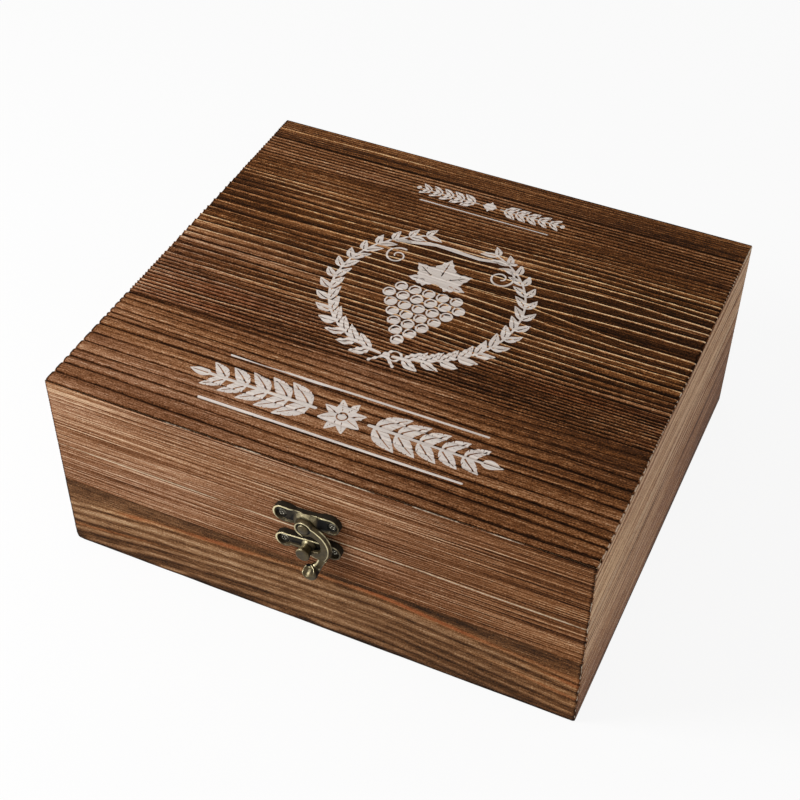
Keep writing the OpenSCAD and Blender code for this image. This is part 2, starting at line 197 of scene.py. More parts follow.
def lid_rings(u, where):
    """Which ring each place lies in, how far it is past that ring's line, and how far short of the next."""
    ring, after, before = (np.zeros(where.shape) for _ in range(3))
    middles, lasts = (np.array([smooth(RING_U, line, u[0]) for line in lot]) for lot in (RINGS, GROOVES))
    lasts = np.maximum.accumulate(lasts + 0.001 * np.arange(len(GROOVES))[:, None])
    back = np.concatenate([[FIRST_RING], rings_between(FIRST_RING, SEAM_RING), [SEAM_RING],
                           rings_between(SEAM_RING, BACK_END)])
    front = rings_between(FRONT_START, FRONT_SEAM)
    for j in range(u.size):
        low = back + (middles[0, j] - BACK_END) * ramp(back, 20, 46)
        high = front + (middles[-1, j] - FRONT_START) * fall(front, 126, 146)
        edges = np.concatenate([low, middles[:, j], high, lasts[:, j]])
        at = where[:, j]
        k = np.clip(np.searchsorted(edges, at, side="right") - 1, 0, len(edges) - 2)
        ring[:, j], after[:, j], before[:, j] = k, at - edges[k], edges[k + 1] - at
    return ring, after, before


def wide_rings(u, v, ring, after, before):
    """The lid's front strip: broad brown ridges parted by narrow black grooves. Gives burn and depth."""
    right, left = ramp(u, 110, 235), fall(u, 20, 120)
    strength = 0.88 + 0.3 * noise(u / 38, ring * 3.1, 16) + 0.12 * right
    strength = strength * (1 - 0.3 * fall(v, 150, 166))
    half = 0.36 + 0.14 * of_ring(ring, 17) + 0.16 * noise(u / 24, ring * 5.3, 18)
    half = np.clip(half * (0.8 + 0.2 * ramp(v, 160, 185)) + 0.22 * right + 0.06, 0.2, 1.2)
    early = np.clip(0.24 + 0.08 * of_ring(ring + 1, 17) + 0.12 * right, 0.1, 1)
    core = np.maximum(bump(np.maximum(after - 0.1, 0), half), bump(before, early))
    core = unit(1.15 * core * strength)
    soft = (0.42 + 0.1 * left) * np.exp(-after / (0.75 + 0.6 * right + 0.6 * left))
    soft = soft + 0.16 * np.exp(-before / 0.35)
    twin_at = 1.35 + 0.5 * of_ring(ring, 18) + 0.35 * noise(u / 30, ring * 2.3, 19)
    twin = bump(after - twin_at, 0.2) * unit(0.3 + 0.9 * noise(u / 30, ring * 7.7, 15))
    # Darker toward the right: partly burn, partly painted shade.
    base = 0.33 + 0.08 * (u / W) + 0.05 * noise(u / 60, v / 9, 13) + 0.05 * of_ring(ring, 12)
    base = base + 0.21 * ramp(u, 130, 222) * fall(v, 160, 198) + 0.04 * left * ramp(v, 160, 180)
    base = base + 0.05 * ramp(u, 110, 160) * ramp(v, 190, 196)
    base = base + waves(u, v, (0.06, 46, 0.62, 10), (0.042, 20, 0.35, 11))
    base = base + 0.12 * bump(v - 151.5, 2.0) * ramp(noise(u / 30, v / 3, 9), -0.4, 0.5)
    burn = toward(base, 0.97, unit(core + (1 - core) * soft * unit(strength) + 0.4 * twin))
    crown = 0.07 * (1 - unit(np.minimum(after, before) / 2.2)) ** 2
    return burn, 0.62 * core**0.8 + crown + 0.12 * twin


def lid_top(u, v):
    """The lid's face at each u along the grain from the left end and each v across it from the back edge.
    Gives its depth below the box's height, how burnt it is and how warm its brown is."""
    u, v = grid(u, v)
    wave = waves(u, v, (0.55, 90, 24, 1), (0.28, 34, 10, 2), (0.14, 13, 5, 3), (0.05, 5, 3, 4))
    wave = wave * ramp(v, 0, 5) * fall(v, 209, D)
    wave = wave * (1 - 0.85 * bump(v - FRONT_SEAM, 2)) * (1 - 0.35 * ramp(v, 148, 151))
    slant = (u - W / 2) * 0.006 * ramp(v, 0, 30) * fall(v, 120, 200)
    ring, after, before = lid_rings(u, v + wave + slant)
    places_v, *parts = LOOK.T
    beside, lower, bright, width, groove, warm, depth = (np.interp(v, places_v, part) for part in parts)

    # Toward the left and the right ends the middle strip is browner, and its lines are duller.
    behind_seam = fall(v, 148, 152)
    left = fall(u + 14 * noise(u / 40, v / 9, 5), 30, 125)
    patchy = left * ramp(v, 49, 56) * fall(v, 80, 90)
    left = left * ramp(v, 84, 96) * behind_seam
    right = ramp(u + 10 * noise(u / 30, v / 8, 6), 190, 236) * ramp(v, 98, 112) * behind_seam
    beside = beside + (0.5 - beside) * left + (0.46 - beside) * 0.7 * right
    beside = toward(beside, 0.66, patchy) + 0.07 * of_ring(ring, 8)
    bright = toward(bright, 0.12, np.maximum(0.85 * left, 0.6 * right))
    bright = toward(bright, 0.24 + 0.25 * bump(v - 78, 7), patchy)
    bright = bright - 0.42 * ramp(u, 150, 185) * ramp(v, 38, 50) * fall(v, 70, 80)

    # Each ring runs from a bright line through brown to a dark groove.
    mixed = 0.5 + 0.5 * of_ring(ring, 7)
    pitch = np.maximum(after + before, 0.3)
    share = unit(after / pitch)
    flat = toward(beside, lower, ramp(share, 0.1 + 0.3 * (1 - groove) * mixed, 1.0))
    flat = toward(flat, lower, ramp(share, 1 - groove - 0.12, 1 - groove * 0.45))
    lit = 0.85 + 0.4 * noise(u / 36, ring * 3.7, 9) - 0.35 * (1 - mixed) * (depth < 0.41)
    narrow = np.minimum(width, 0.3 * pitch)
    line = np.maximum(bump(after, narrow * 1.25), bump(before, narrow * 0.6))
    line = line * unit(lit) * ramp(pitch, 0.35, 1.6)
    fine = noise(u / 60, v / 0.75, 10)
    fibre = 0.07 * fine + 0.05 * noise(u / 26, v / 0.4, 11)
    wisp = unit(noise(u / 45, v / 1.1, 12) - 0.45) * ramp(v, 44, 60) * fall(v, 112, 122)
    burn = toward(flat, bright, line) + fibre * (1 - 0.7 * line) - 0.55 * wisp * (1 - line)
    # Darker toward the right: partly burn, partly painted shade of a light that falls off from the left.
    burn = burn + 0.05 * noise(u / 70, v / 20, 13) + 0.16 * (u / W - 0.4) * ramp(v, 30, 150)
    sunk = depth * ramp(flat - 0.5 * line, 0.3, 0.95)

    # Close to the back seam the rings are plain ridges and gaps, and the front strip is of wide rings.
    close = ramp(v, 14.8, 15.2) * fall(v + 1.5 * noise(u / 40, v / 9, 12), 30, 37)
    gap = bump(np.minimum(after, before * 1.3), 0.6 + 0.1 * mixed)
    gap = gap * (0.95 + 0.3 * noise(u / 30, ring * 4.3, 14))
    tight = 0.29 + 0.05 * of_ring(ring, 9) + fibre + 0.12 * np.abs(u / W - 0.42) + 0.14 * ramp(v, 26, 35)
    tight = tight + 0.1 * noise(u / 35, ring * 5.7, 15)
    burn = toward(burn, toward(tight, 1.02, gap), close)
    sunk = toward(sunk, 0.44 * gap, close)
    wide_burn, wide_sunk = wide_rings(u, v, ring, after, before)
    burn = np.where(v > FRONT_SEAM, wide_burn, burn)
    sunk = np.where(v > FRONT_SEAM, wide_sunk, sunk)

    # Broad changes of burn, partly painted shade where they darken toward the right, and the two seams with
    # a pale streak before the first.
    burn = burn + 0.19 * ramp(u, 70, 200) * fall(v, 15, 40) * (1 - burn)
    burn = burn - 0.09 * fall(u, 30, 85) * ramp(v, 21, 30) * fall(v, 46, 54)
    burn = burn + 0.12 * bump(u - 64, 34) * bump(v - 146, 4)
    darker = 0.21 * ramp(u + 10 * noise(u / 30, v / 8, 8), 40, 165) - 0.07 - 0.06 * ramp(u, 190, 220)
    burn = burn + darker * ramp(v, 126, 132) * (v < FRONT_SEAM)
    streak = bump(v + 0.012 * (u - 40) + 0.4 * noise(u / 22, v * 0, 14) - 7.7, 0.6) * fall(u, 45, 125)
    seam = bump(v - 15.4, 0.35) * ramp(u, 110, 215)
    burn = burn - 0.36 * streak - 0.3 * seam + 0.2 * bump(v - 14.9, 0.25) + 0.2 * bump(v - FRONT_SEAM, 0.3)
    warm = warm + 0.4 * ramp(u, 120, 220) * ramp(v, 148, 152)
    warm = warm + 0.25 * noise(u / 60, v / 7, 15) + 0.4 * (streak + seam) - 0.5 * left
    relief = 0.06 + sunk + 0.02 * (fine + 1) + 0.1 * (bump(v - BACK_SEAM, 0.2) + bump(v - FRONT_SEAM, 0.25))
    return relief, unit(burn), unit(warm)


# The arch of the first ring in the front's lower strip, down from the top edge.
ARCH_U = [0, 38, 76, 116, 153, 199, 240]
ARCH_H = [71.5, 67, 63.2, 60.6, 60.6, 65.3, 68.2]


def fine_lines(u, h, seed, pitch):
    """Close, nearly straight rings: how proud each place stands, each ring's number, and a fibre noise."""
    wave = 0.6 * noise(u / 110 + seed, h / 20, 1) + 0.13 * noise(u / 26 + seed, h / 5, 2)
    turn = (h + wave + 0.012 * (u - W / 2)) / pitch + 1.6 * noise(h / 7 + seed, u * 0, 3)
    away = np.abs(turn - np.floor(turn) - 0.5) * 2
    ring = np.floor(turn) + 37 * seed
    share = 0.5 + 0.2 * of_ring(ring, 4)
    return fall(away, share - 0.4, share + 0.4), ring, noise(u / 50 + seed, h / 0.55, 5)


# Single pale lines on the front: how far down, how wide and how pale.
PALE_LINES = (
    (20.6, 0.16, 0.12),
    (28.4, 0.14, 0.14),
    (31.2, 0.16, 0.16),
    (12.2, 0.12, 0.1),
    (44.5, 0.12, 0.08),
)


def front_upper(u, h):
    """The front above its glue line: depth, burn and warmth."""
    ridge, ring, fine = fine_lines(u, h, 1, 1.3)
    odd = of_ring(ring, 6)
    strong = 0.6 + 0.4 * noise(u / 45, ring * 2.7, 8)
    burn = 0.34 - (0.16 + 0.06 * odd) * (ridge - 0.5) * 2 * strong - 0.04 * odd + 0.04 * fine
    # Darker toward the right: partly burn, partly painted shade.
    burn = burn + 0.04 * noise(u / 50, h / 12, 7) + 0.13 * (u / W - 0.4) + 0.05 * ramp(h, 8, 56)
    burn = burn + 0.04 * ramp(u, 130, 190) + 0.15 * bump(u - 226, 42) * bump(h - 10, 20)
    burn = burn + 0.16 * fall(h, 0.8, 3.4) * (0.7 + 0.5 * noise(u / 40, h, 9))
    for at, half, much in PALE_LINES:
        path = h + 0.25 * noise(u / 60 + at, h * 0, 10) - at
        burn = burn - much * bump(path, half) * (0.7 + 0.5 * noise(u / 25 + at, h * 0, 9))
    burn = burn - 0.07 * fall(u, 20, 60) * fall(h, 8, 24) + 0.08 * bump(h - 60, 5) * fall(u, 110, 160)
    warm = 0.1 + 0.1 * noise(u / 50, h / 9, 10)
    warm = warm + 0.15 * fall(u, 10, 60) * fall(h, 2, 14) + 0.35 * ramp(u, 150, 230)
    return 0.02 + 0.09 * (1 - ridge) + 0.015 * (fine + 1), burn, warm


def front_lower(u, h):
    """The front below its glue line, where the rings form an arch: depth, burn and how orange it is."""
    arch = smooth(ARCH_U, ARCH_H, u) + 0.5 + bump(u - 82, 32) + 0.4 * ramp(u, 160, 200)
    wander = waves(u, h, (1.7, 40, 11, 11), (0.45, 13, 5, 12), (0.12, 4, 2, 13))
    q = h - arch + 0.75 * wander * ramp(h - arch, 0, 7)
    q = q - 0.07 * np.clip(h - 64, 0, 40) * noise(u / 90, h * 0 + 3, 13)
    turn = q / 5.7 + 0.3 * noise(q / 6, u / 90, 14) + 0.12
    ring = np.floor(turn)
    inside = turn - ring
    dark = bump(inside - 0.5, 0.24) + 0.55 * bump(inside - 0.86, 0.12) * (of_ring(ring, 15) > 0)
    dark = dark * np.clip(0.9 + 0.4 * noise(u / 45, ring * 3.3, 18), 0, 1.1) * ramp(q, 0, 2)
    mottle = waves(u, h, (1, 9, 1.6, 16), (0.6, 4, 0.8, 17))
    burn = 0.27 + 0.4 * dark + 0.07 * mottle + waves(u, h, (0.04, 26, 0.6, 16), (0.05, 40, 8, 18))
    # Darker toward the right: partly burn, partly painted shade.
    burn = burn + 0.27 * fall(q, -1.4, 0.2) + 0.06 * ramp(h, 86, 96.5) + 0.07 * ramp(u, 60, 220)
    along = 0.35 + 0.65 * ramp(u, 90, 140) - 0.8 * ramp(u, 185, 215)
    burn = burn + 0.2 * bump(h - 59.2 - 0.6 * wander, 2.2) * along * (q < 2)
    orange = bump(q + 0.3 - 0.2 * wander, 1.9) * unit(1.05 + 0.6 * noise(u / 26, h / 4, 2))
    orange = orange * (ramp(u, 10, 40) - 0.4 * ramp(u, 180, 215))
    ends = bump(q - 11.5, 1.1) * ramp(u, 170, 225) + bump(q - 14, 1.0) * fall(u, 20, 80)
    ends = ends + bump(q - 3.5, 1.0) * ramp(u, 205, 235)
    burn = toward(burn, 0.42, unit(0.8 * orange + 0.6 * ends))
    return 0.03 + 0.1 * unit(dark) + 0.02 * (mottle + 1), burn, unit(orange + 0.7 * ends)


def front_face(u, h):
    """The front at each u from the left end and each h down from the top edge. Warmth past a half is
    orange, which wall_grid tells apart again."""
    u, h = grid(u, h)
    upper, lower = front_upper(u, h), front_lower(u, h)
    low = h > H - GLUE_H
    glue = bump(h - H + GLUE_H, 0.25)
    relief = np.where(low, lower[0], upper[0]) + 0.06 * glue
    burn = np.where(low, lower[1], upper[1]) + 0.12 * glue
    warm = np.clip(np.where(low, 0.1 + 0.3 * ramp(u, 200, W), upper[2]), 0, 0.5)
    return relief, unit(burn), toward(warm, 1, np.where(low, lower[2], 0))


def plain_face(seed, base, contrast, pitch=3.3, wide_half=0.34, far_low=0.0):
    """The look of a back or side board: u from its end, h down from the top edge."""

    def face(u, h):
        u, h = grid(u, h)
        ridge, ring, fine = fine_lines(u, h, seed, 1.25)
        dull = 1 - 0.55 * ramp(h, 45, 65)
        drift = h + 1.3 * noise(u / 55 + seed, h / 14, 8) + 0.5 * noise(u / 17 + seed, h / 6, 9)
        band = drift / pitch + 0.5 * noise(drift / 9 + seed, u * 0, 10)
        wide = bump(band - np.floor(band) - 0.6, wide_half)
        wide = wide * (0.5 + 0.5 * of_ring(np.floor(band) + 11 * seed, 11))
        pale = (1.7, 7.5, 18, 27, 41)
        lines = sum(bump(h - at - 0.3 * noise(u / 70 + at, h * 0, 11), 0.2) for at in pale)
        rings = 0.9 * of_ring(ring, 6) ** 3 + ridge - 0.5 - 1.1 * (wide - 0.25)
        burn = base - 0.16 * lines - contrast * dull * rings + 0.03 * fine
        burn = burn + 0.05 * noise(u / 60 + seed, h / 16, 7)
        burn = burn + 0.19 * ramp(h, 40, 80) - 0.05 * fall(h, 18, 34)
        far = fall(u, 20, 170) * ramp(h, 15, 50) + 0.4 * ramp(u, 60, 150) * ramp(h, 52, 68)
        burn = burn + far_low * far
        warm = 0.22 + 0.14 * noise(u / 50 + seed, h / 9, 10)
        return 0.02 + 0.1 * dull * (1 - ridge) + 0.015 * (fine + 1), unit(burn), warm

    return face


# Meshes.
def quads_of(number):
    """A face for each cell of a grid of point numbers."""
    corners = [number[:-1, :-1], number[:-1, 1:], number[1:, 1:], number[1:, :-1]]
    return np.stack(corners, -1).reshape(-1, 4).tolist()


def mesh_of(name, points, faces, materials, index=None, smooth=None, values=None, grain=None):
    """A mesh object from points in millimetres, with a material and a smooth flag for each face."""
    mesh = bpy.data.meshes.new(name)
    mesh.from_pydata((np.asarray(points, float) * 0.001).tolist(), [], faces)
    for material in materials:
        mesh.materials.append(material)
    if index is not None:
        mesh.polygons.foreach_set("material_index", np.asarray(index, np.int32))
    flags = np.ones(len(faces), bool) if smooth is None else np.asarray(smooth, bool)
    mesh.polygons.foreach_set("use_smooth", flags)
    edge_of = np.empty(len(mesh.loops), np.int32)
    mesh.loops.foreach_get("edge_index", edge_of)
    sharp = np.zeros(len(mesh.edges), bool)
    sharp[edge_of[np.repeat(~flags, [len(f) for f in faces])]] = True
    if sharp.any():
        mesh.attributes.new("sharp_edge", "BOOLEAN", "EDGE").data.foreach_set("value", sharp)
    for key, value in (values or {}).items():
        mesh.attributes.new(key, "FLOAT", "POINT").data.foreach_set("value", np.asarray(value, np.float32))
    if grain is not None:
        data = mesh.attributes.new("grain", "FLOAT_VECTOR", "POINT").data
        data.foreach_set("vector", np.asarray(grain, np.float32).ravel())
    mesh.validate()
    made = bpy.data.objects.new(name, mesh)
    bpy.context.scene.collection.objects.link(made)
    return made


def places(start, stop, step, low=(), high=()):
    """Places from start to stop about a step apart, with these extra ones near the two ends."""
    inner = np.linspace(start, stop, int(round((stop - start) / step)) + 1)[1:-1]
    first = [start + e for e in low]
    last = [stop - e for e in reversed(high)]
    inner = inner[inner > (first[-1] if low else start) + step / 3]
    inner = inner[inner < (last[0] if high else stop) - step / 3]
    return np.concatenate([[start], first, inner, last, [stop]])


# How far the box's upper edges are eased, and where the points of the faces stand.
EDGE = 0.34
ALONG_X = places(0, W, 2.0, (0.9, 1.5), (0.9, 1.5))
ALONG_V = places(0, D, 0.25, (0.6,), (0.6,))
COARSE = np.concatenate([[0, 1], np.arange(9, len(ALONG_V) - 5, 8), [len(ALONG_V) - 2, len(ALONG_V) - 1]])
LOW_ROWS = places(0, GLUE_H, 0.3, (0.2, 0.6, 1.1))
HIGH_ROWS = places(GLUE_H, SAW_LOW, 0.3, (), (0.14,))
BASE_ROWS = np.concatenate([LOW_ROWS, HIGH_ROWS[1:]])
LID_ROWS = places(SAW_HIGH, H, 0.3, (0.14,), (0.6, 1.0))
RAIL_ROWS = places(SAW_HIGH, H - 1.6, 0.3, (0.14,))

faces_of = {
    "front": front_face,
    "back": plain_face(2, 0.32, 0.2),
    "left": plain_face(3, 0.26, 0.22),
    "right": plain_face(4, 0.12, 0.4, 4.6, 0.26, 0.2),
}
# Each wall's outer corner, the way along it, the way up and the way out.
WALLS = {
    "front": ((-W / 2, -D / 2, 0), (1, 0, 0), (0, 0, 1), (0, -1, 0)),
    "back": ((-W / 2, D / 2, 0), (1, 0, 0), (0, 0, 1), (0, 1, 0)),
    "left": ((-W / 2, D / 2, 0), (0, -1, 0), (0, 0, 1), (-1, 0, 0)),
    "right": ((W / 2, D / 2, 0), (0, -1, 0), (0, 0, 1), (1, 0, 0)),
}
TOP = ((-W / 2, D / 2, H), (1, 0, 0), (0, -1, 0), (0, 0, 1))
# Each wall's two corners: the wall that shapes them, and where on it.
CORNERS = {
    "front": (("front", 0), ("front", W)),
    "back": (("back", 0), ("back", W)),
    "left": (("back", 0), ("front", 0)),
    "right": (("back", W), ("front", W)),
}
# How much each wall's two ends are rubbed pale.
RUBBED_ENDS = {"front": (0.0, 0.6), "back": (0.3, 0.3), "left": (0.3, 0.0), "right": (0.3, 0.6)}


def rubbed(z):
    """How much more the wood is worn at a height: burnt off at the bottom and eased along the saw cut."""
    burnt = np.interp(z, [0, 0.2, 0.6, 1.1], [0.7, 0.38, 0.12, 0])
    return burnt + 0.1 * ((np.abs(z - SAW_LOW) < 0.01) | (np.abs(z - SAW_HIGH) < 0.01))


def corner(z, wall, end):
    """How far each corner of the box is worn back along its mitre, from the wall that it belongs to."""
    z = np.asarray(z, float)
    relief = faces_of[wall](np.array([end]), H - z)[0][:, 0]
    worn = 0.24 + 1.0 * relief + rubbed(z)
    if wall == "front" and end == 0:
        worn = worn + 0.8 * np.exp(-z / 1.3)
    return np.where(z > H - 1.7, EDGE, worn)


def board(name, body, slot, axes, sheets, inner, length, mitre=1, match=None, edge=(1, 1), skin=None):
    """One board. axes are its outer corner, the way along it, the way across it and the way out. Each
    sheet gives (s, t, depth, looks) for a grid of points on the outer face, and a second one is a closer
    strip along the far edge, in which match finds each coarse column. inner gives (depth, t) of the hidden
    corners from the far edge to the near one, and edge whether the far and the near edge show bare wood."""
    origin, along, across, out = (np.array(a, float) for a in axes)
    grain, values, numbers, faces = [], {k: [] for k in sheets[0][3]}, [], []
    for s, t, depth, looks in sheets:
        number = sum(len(g) for g in grain) + np.arange(depth.size).reshape(depth.shape)
        grain.append(np.stack(np.broadcast_arrays(s, t, depth), -1).reshape(-1, 3))
        for k in values:
            values[k].append(np.broadcast_to(looks[k], depth.shape).ravel())
        if numbers:
            last = numbers[-1][-1]
            for j in range(len(last) - 1):
                closer = number[0, match[j] : match[j + 1] + 1]
                faces.append(last[j : j + 2].tolist() + closer[::-1].tolist())
        faces += quads_of(number)
        numbers.append(number)
    near, far = numbers[0][0].tolist(), numbers[-1][-1].tolist()
    sides = [np.concatenate([n[:, k] for n in numbers]).tolist() for k in (0, -1)]
    outer, count = len(faces), len(inner)
    start = sum(len(g) for g in grain)
    first, second = ([start + k + count * end for k in range(count)] for end in (0, 1))
    for end in (0, 1):
        grain.append(np.array([[end * length + (1 - 2 * end) * mitre * d, t, d] for d, t in inner]))
    faces += [far + [second[0], first[0]], near[::-1] + [first[-1], second[-1]]]
    faces += [sides[1][::-1] + second[::-1], sides[0] + first]
    faces += [[first[k], second[k], second[k + 1], first[k + 1]] for k in range(count - 1)]
    grain = np.concatenate(grain)
    points = origin + grain[:, :1] * along + grain[:, 1:2] * across - grain[:, 2:] * out
    if np.dot(np.cross(along, across), out) < 0:
        faces = [f[::-1] for f in faces]
    index = np.ones(len(faces), int)
    index[:outer] = 0
    index[outer : outer + 2] = edge
    hidden = {"burn": 0.9, "warm": 0.1, "bare": 0.0, "hot": 0.0}
    values = {k: np.concatenate(v + [np.full(2 * count, hidden[k])]) for k, v in values.items()}
    skins, smooth_ones = [SKIN[skin or slot], RAW], np.arange(len(faces)) < outer
    made = mesh_of("wood_" + name, points, faces, skins, index, smooth_ones, values, grain)
    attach(made, body)
    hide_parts(name)


def wall_grid(wall, s, z):
    """The outer face of a wall at these columns and heights, worn back at its ends."""
    length, along, up = s[-1], s[None, :], z[:, None]
    relief, burn, warm = faces_of[wall](s, H - z)
    depth = relief + rubbed(up)
    at = np.broadcast_to(s, depth.shape).copy()
    if wall in ("front", "left"):
        far = along if wall == "front" else length - along
        depth = depth + 0.5 * np.exp(-((far / 2.0) ** 2) - (up / 1.8) ** 2)
    ends = [corner(z, *CORNERS[wall][k]) for k in (0, 1)]
    depth[:, 0], depth[:, -1] = ends
    at[:, 0], at[:, -1] = ends[0], length - ends[1]
    for k, past in ((1, 0.2), (2, 0.45)):
        at[:, k] = np.maximum(at[:, k], ends[0] + past)
        at[:, -1 - k] = np.minimum(at[:, -1 - k], length - ends[1] - past)
    depth[:, [1, -2]] += 0.03
    # Darker toward the bottom edge.
    dark_bottom = bump(up, 1.3)
    burn = toward(burn, 0.97, unit(dark_bottom + 0.6 * bump(up, 4.5) * (0.75 + noise(s / 9, up / 3, 5))))
    burn[:, [0, -1]] += 0.3
    burn[:, [1, -2]] += 0.15
    burn[:, 0] += 0.5 * (wall == "front")
    rub = np.zeros(depth.shape)
    rub[:, 0], rub[:, -1] = RUBBED_ENDS[wall]
    rub = rub * unit(0.5 + noise(up / 1.3, along * 0 + CORNERS[wall][0][1] + 3, 6)) * (1 - dark_bottom)
    saw = np.interp(np.abs(up - SAW), [0.2, 0.3, 0.33], [1, 0.5, 0])
    rub = np.maximum(rub, saw * np.clip(0.8 + 0.5 * noise(along / 14, up * 0, 12), 0.5, 1))
    return at, depth, {"burn": unit(burn), "warm": warm, "bare": rub, "hot": unit(2 * warm - 1)}


def wall_board(name, body, wall, rows, inner, edge=(1, 1), skin=None):
    """A board of a wall between its first and last row, with its outer edge eased at the box's top."""
    s = ALONG_X if wall in ("front", "back") else ALONG_V[COARSE]
    at, depth, looks = wall_grid(wall, s, rows)
    t = np.broadcast_to(rows[:, None], depth.shape).copy()
    if rows[-1] == H:
        depth[-1] = EDGE
        t[-1] = H - EDGE
        at[-1, 0], at[-1, -1] = EDGE, s[-1] - EDGE
        looks["bare"][-1] = 0
        looks["burn"][-1] = 0.97
        looks["bare"][-2] = unit(0.35 + 0.5 * noise(s / 12, s * 0, 7))
        looks["burn"][-2] += 0.1
    board(name, body, "wall_wood", WALLS[wall], [(at, t, depth, looks)], inner, s[-1], edge=edge, skin=skin)


def rail(name, side):
    """A lid rail under the ends of the lid's rings: its top edge follows their ridges and grooves."""
    s = ALONG_V[COARSE]
    at, depth, looks = wall_grid(side, s, RAIL_ROWS)
    worn = TOP_GRID["depth"][:, 0 if side == "left" else -1]
    down = H - np.stack([worn + 0.6, worn + 0.3, worn])
    out = faces_of[side](ALONG_V, np.array([1.5]))[0][0]
    fd = np.stack([out, np.minimum(out + 0.1, worn), worn])
    fs = np.broadcast_to(ALONG_V, fd.shape).copy()
    for k in (0, -1):
        fd[:2, k] = corner(down[:2, k], *CORNERS[side][k])
        fs[:, k] = abs(k) * D + (1 + 2 * k) * fd[:, k]
    groove = ramp(worn, 0.3, 0.8)
    top_looks = {"burn": np.interp(ALONG_V, s, looks["burn"][-1]) + np.outer([0, 0.4, 0.6], groove),
                 "warm": 0.15, "bare": np.outer([0.2, 0.6, 0.75], 1 - groove), "hot": 0.0}
    sheets = [(at, RAIL_ROWS[:, None], depth, looks), (fs, down, fd, top_looks)]
    board(name, "lid", "wall_wood", WALLS[side], sheets, RAIL_INNER, D, match=COARSE)


def lid_grid():
    """The lid's whole face, of which each strip is cut."""
    relief, burn, warm = lid_top(ALONG_X, ALONG_V)
    u, v = grid(ALONG_X, ALONG_V)
    depth = relief.copy()
    s, t = (a.copy() for a in np.broadcast_arrays(u, v))
    for k in (0, -1):
        worn = np.clip(2.1 * relief[:, k] + 0.05, 0.2, 1.15)
        worn[[0, -1]] = EDGE
        depth[:, k] = worn
        s[:, k] = abs(k) * W + (1 + 2 * k) * worn
    depth[[0, -1]] = EDGE
    t[0], t[-1] = EDGE, D - EDGE
    bare = np.zeros(depth.shape)
    bare[:, -1] = 0.45 * fall(depth[:, -1], 0.3, 0.7)
    burn[:2] = unit(burn[:2] + 0.45)
    burn[-1] = 0.93
    burn[:, :2] = unit(burn[:, :2] + [0.6, 0.25])
    hot = np.clip(0.05 + 0.4 * noise(u / 40, v / 4, 14), 0, 0.35) * ramp(v, 124, 132) * fall(v, 144, 150)
    return {"s": s, "t": t, "depth": depth, "burn": burn, "warm": warm, "bare": bare, "hot": hot}


def top_strip(name, low, high):
    """One of the lid's edge-glued strips, between two places across the grain."""
    rows = slice(np.searchsorted(ALONG_V, low - 0.01), np.searchsorted(ALONG_V, high + 0.01))
    cut = {k: v[rows] for k, v in TOP_GRID.items()}
    sheet = [cut.pop(k) for k in ("s", "t", "depth")] + [cut]
    board(name, "lid", "top_wood", TOP, [sheet], [(WALL, min(high, D - WALL)), (WALL, max(low, WALL))], W)


# Materials.
def tone(*colour):
    """A colour as it reads on the screen, for a shader's socket."""
    parts = np.array(colour) / 255
    return tuple(v / 12.92 if v <= 0.04045 else ((v + 0.055) / 1.055) ** 2.4 for v in parts) + (1,)


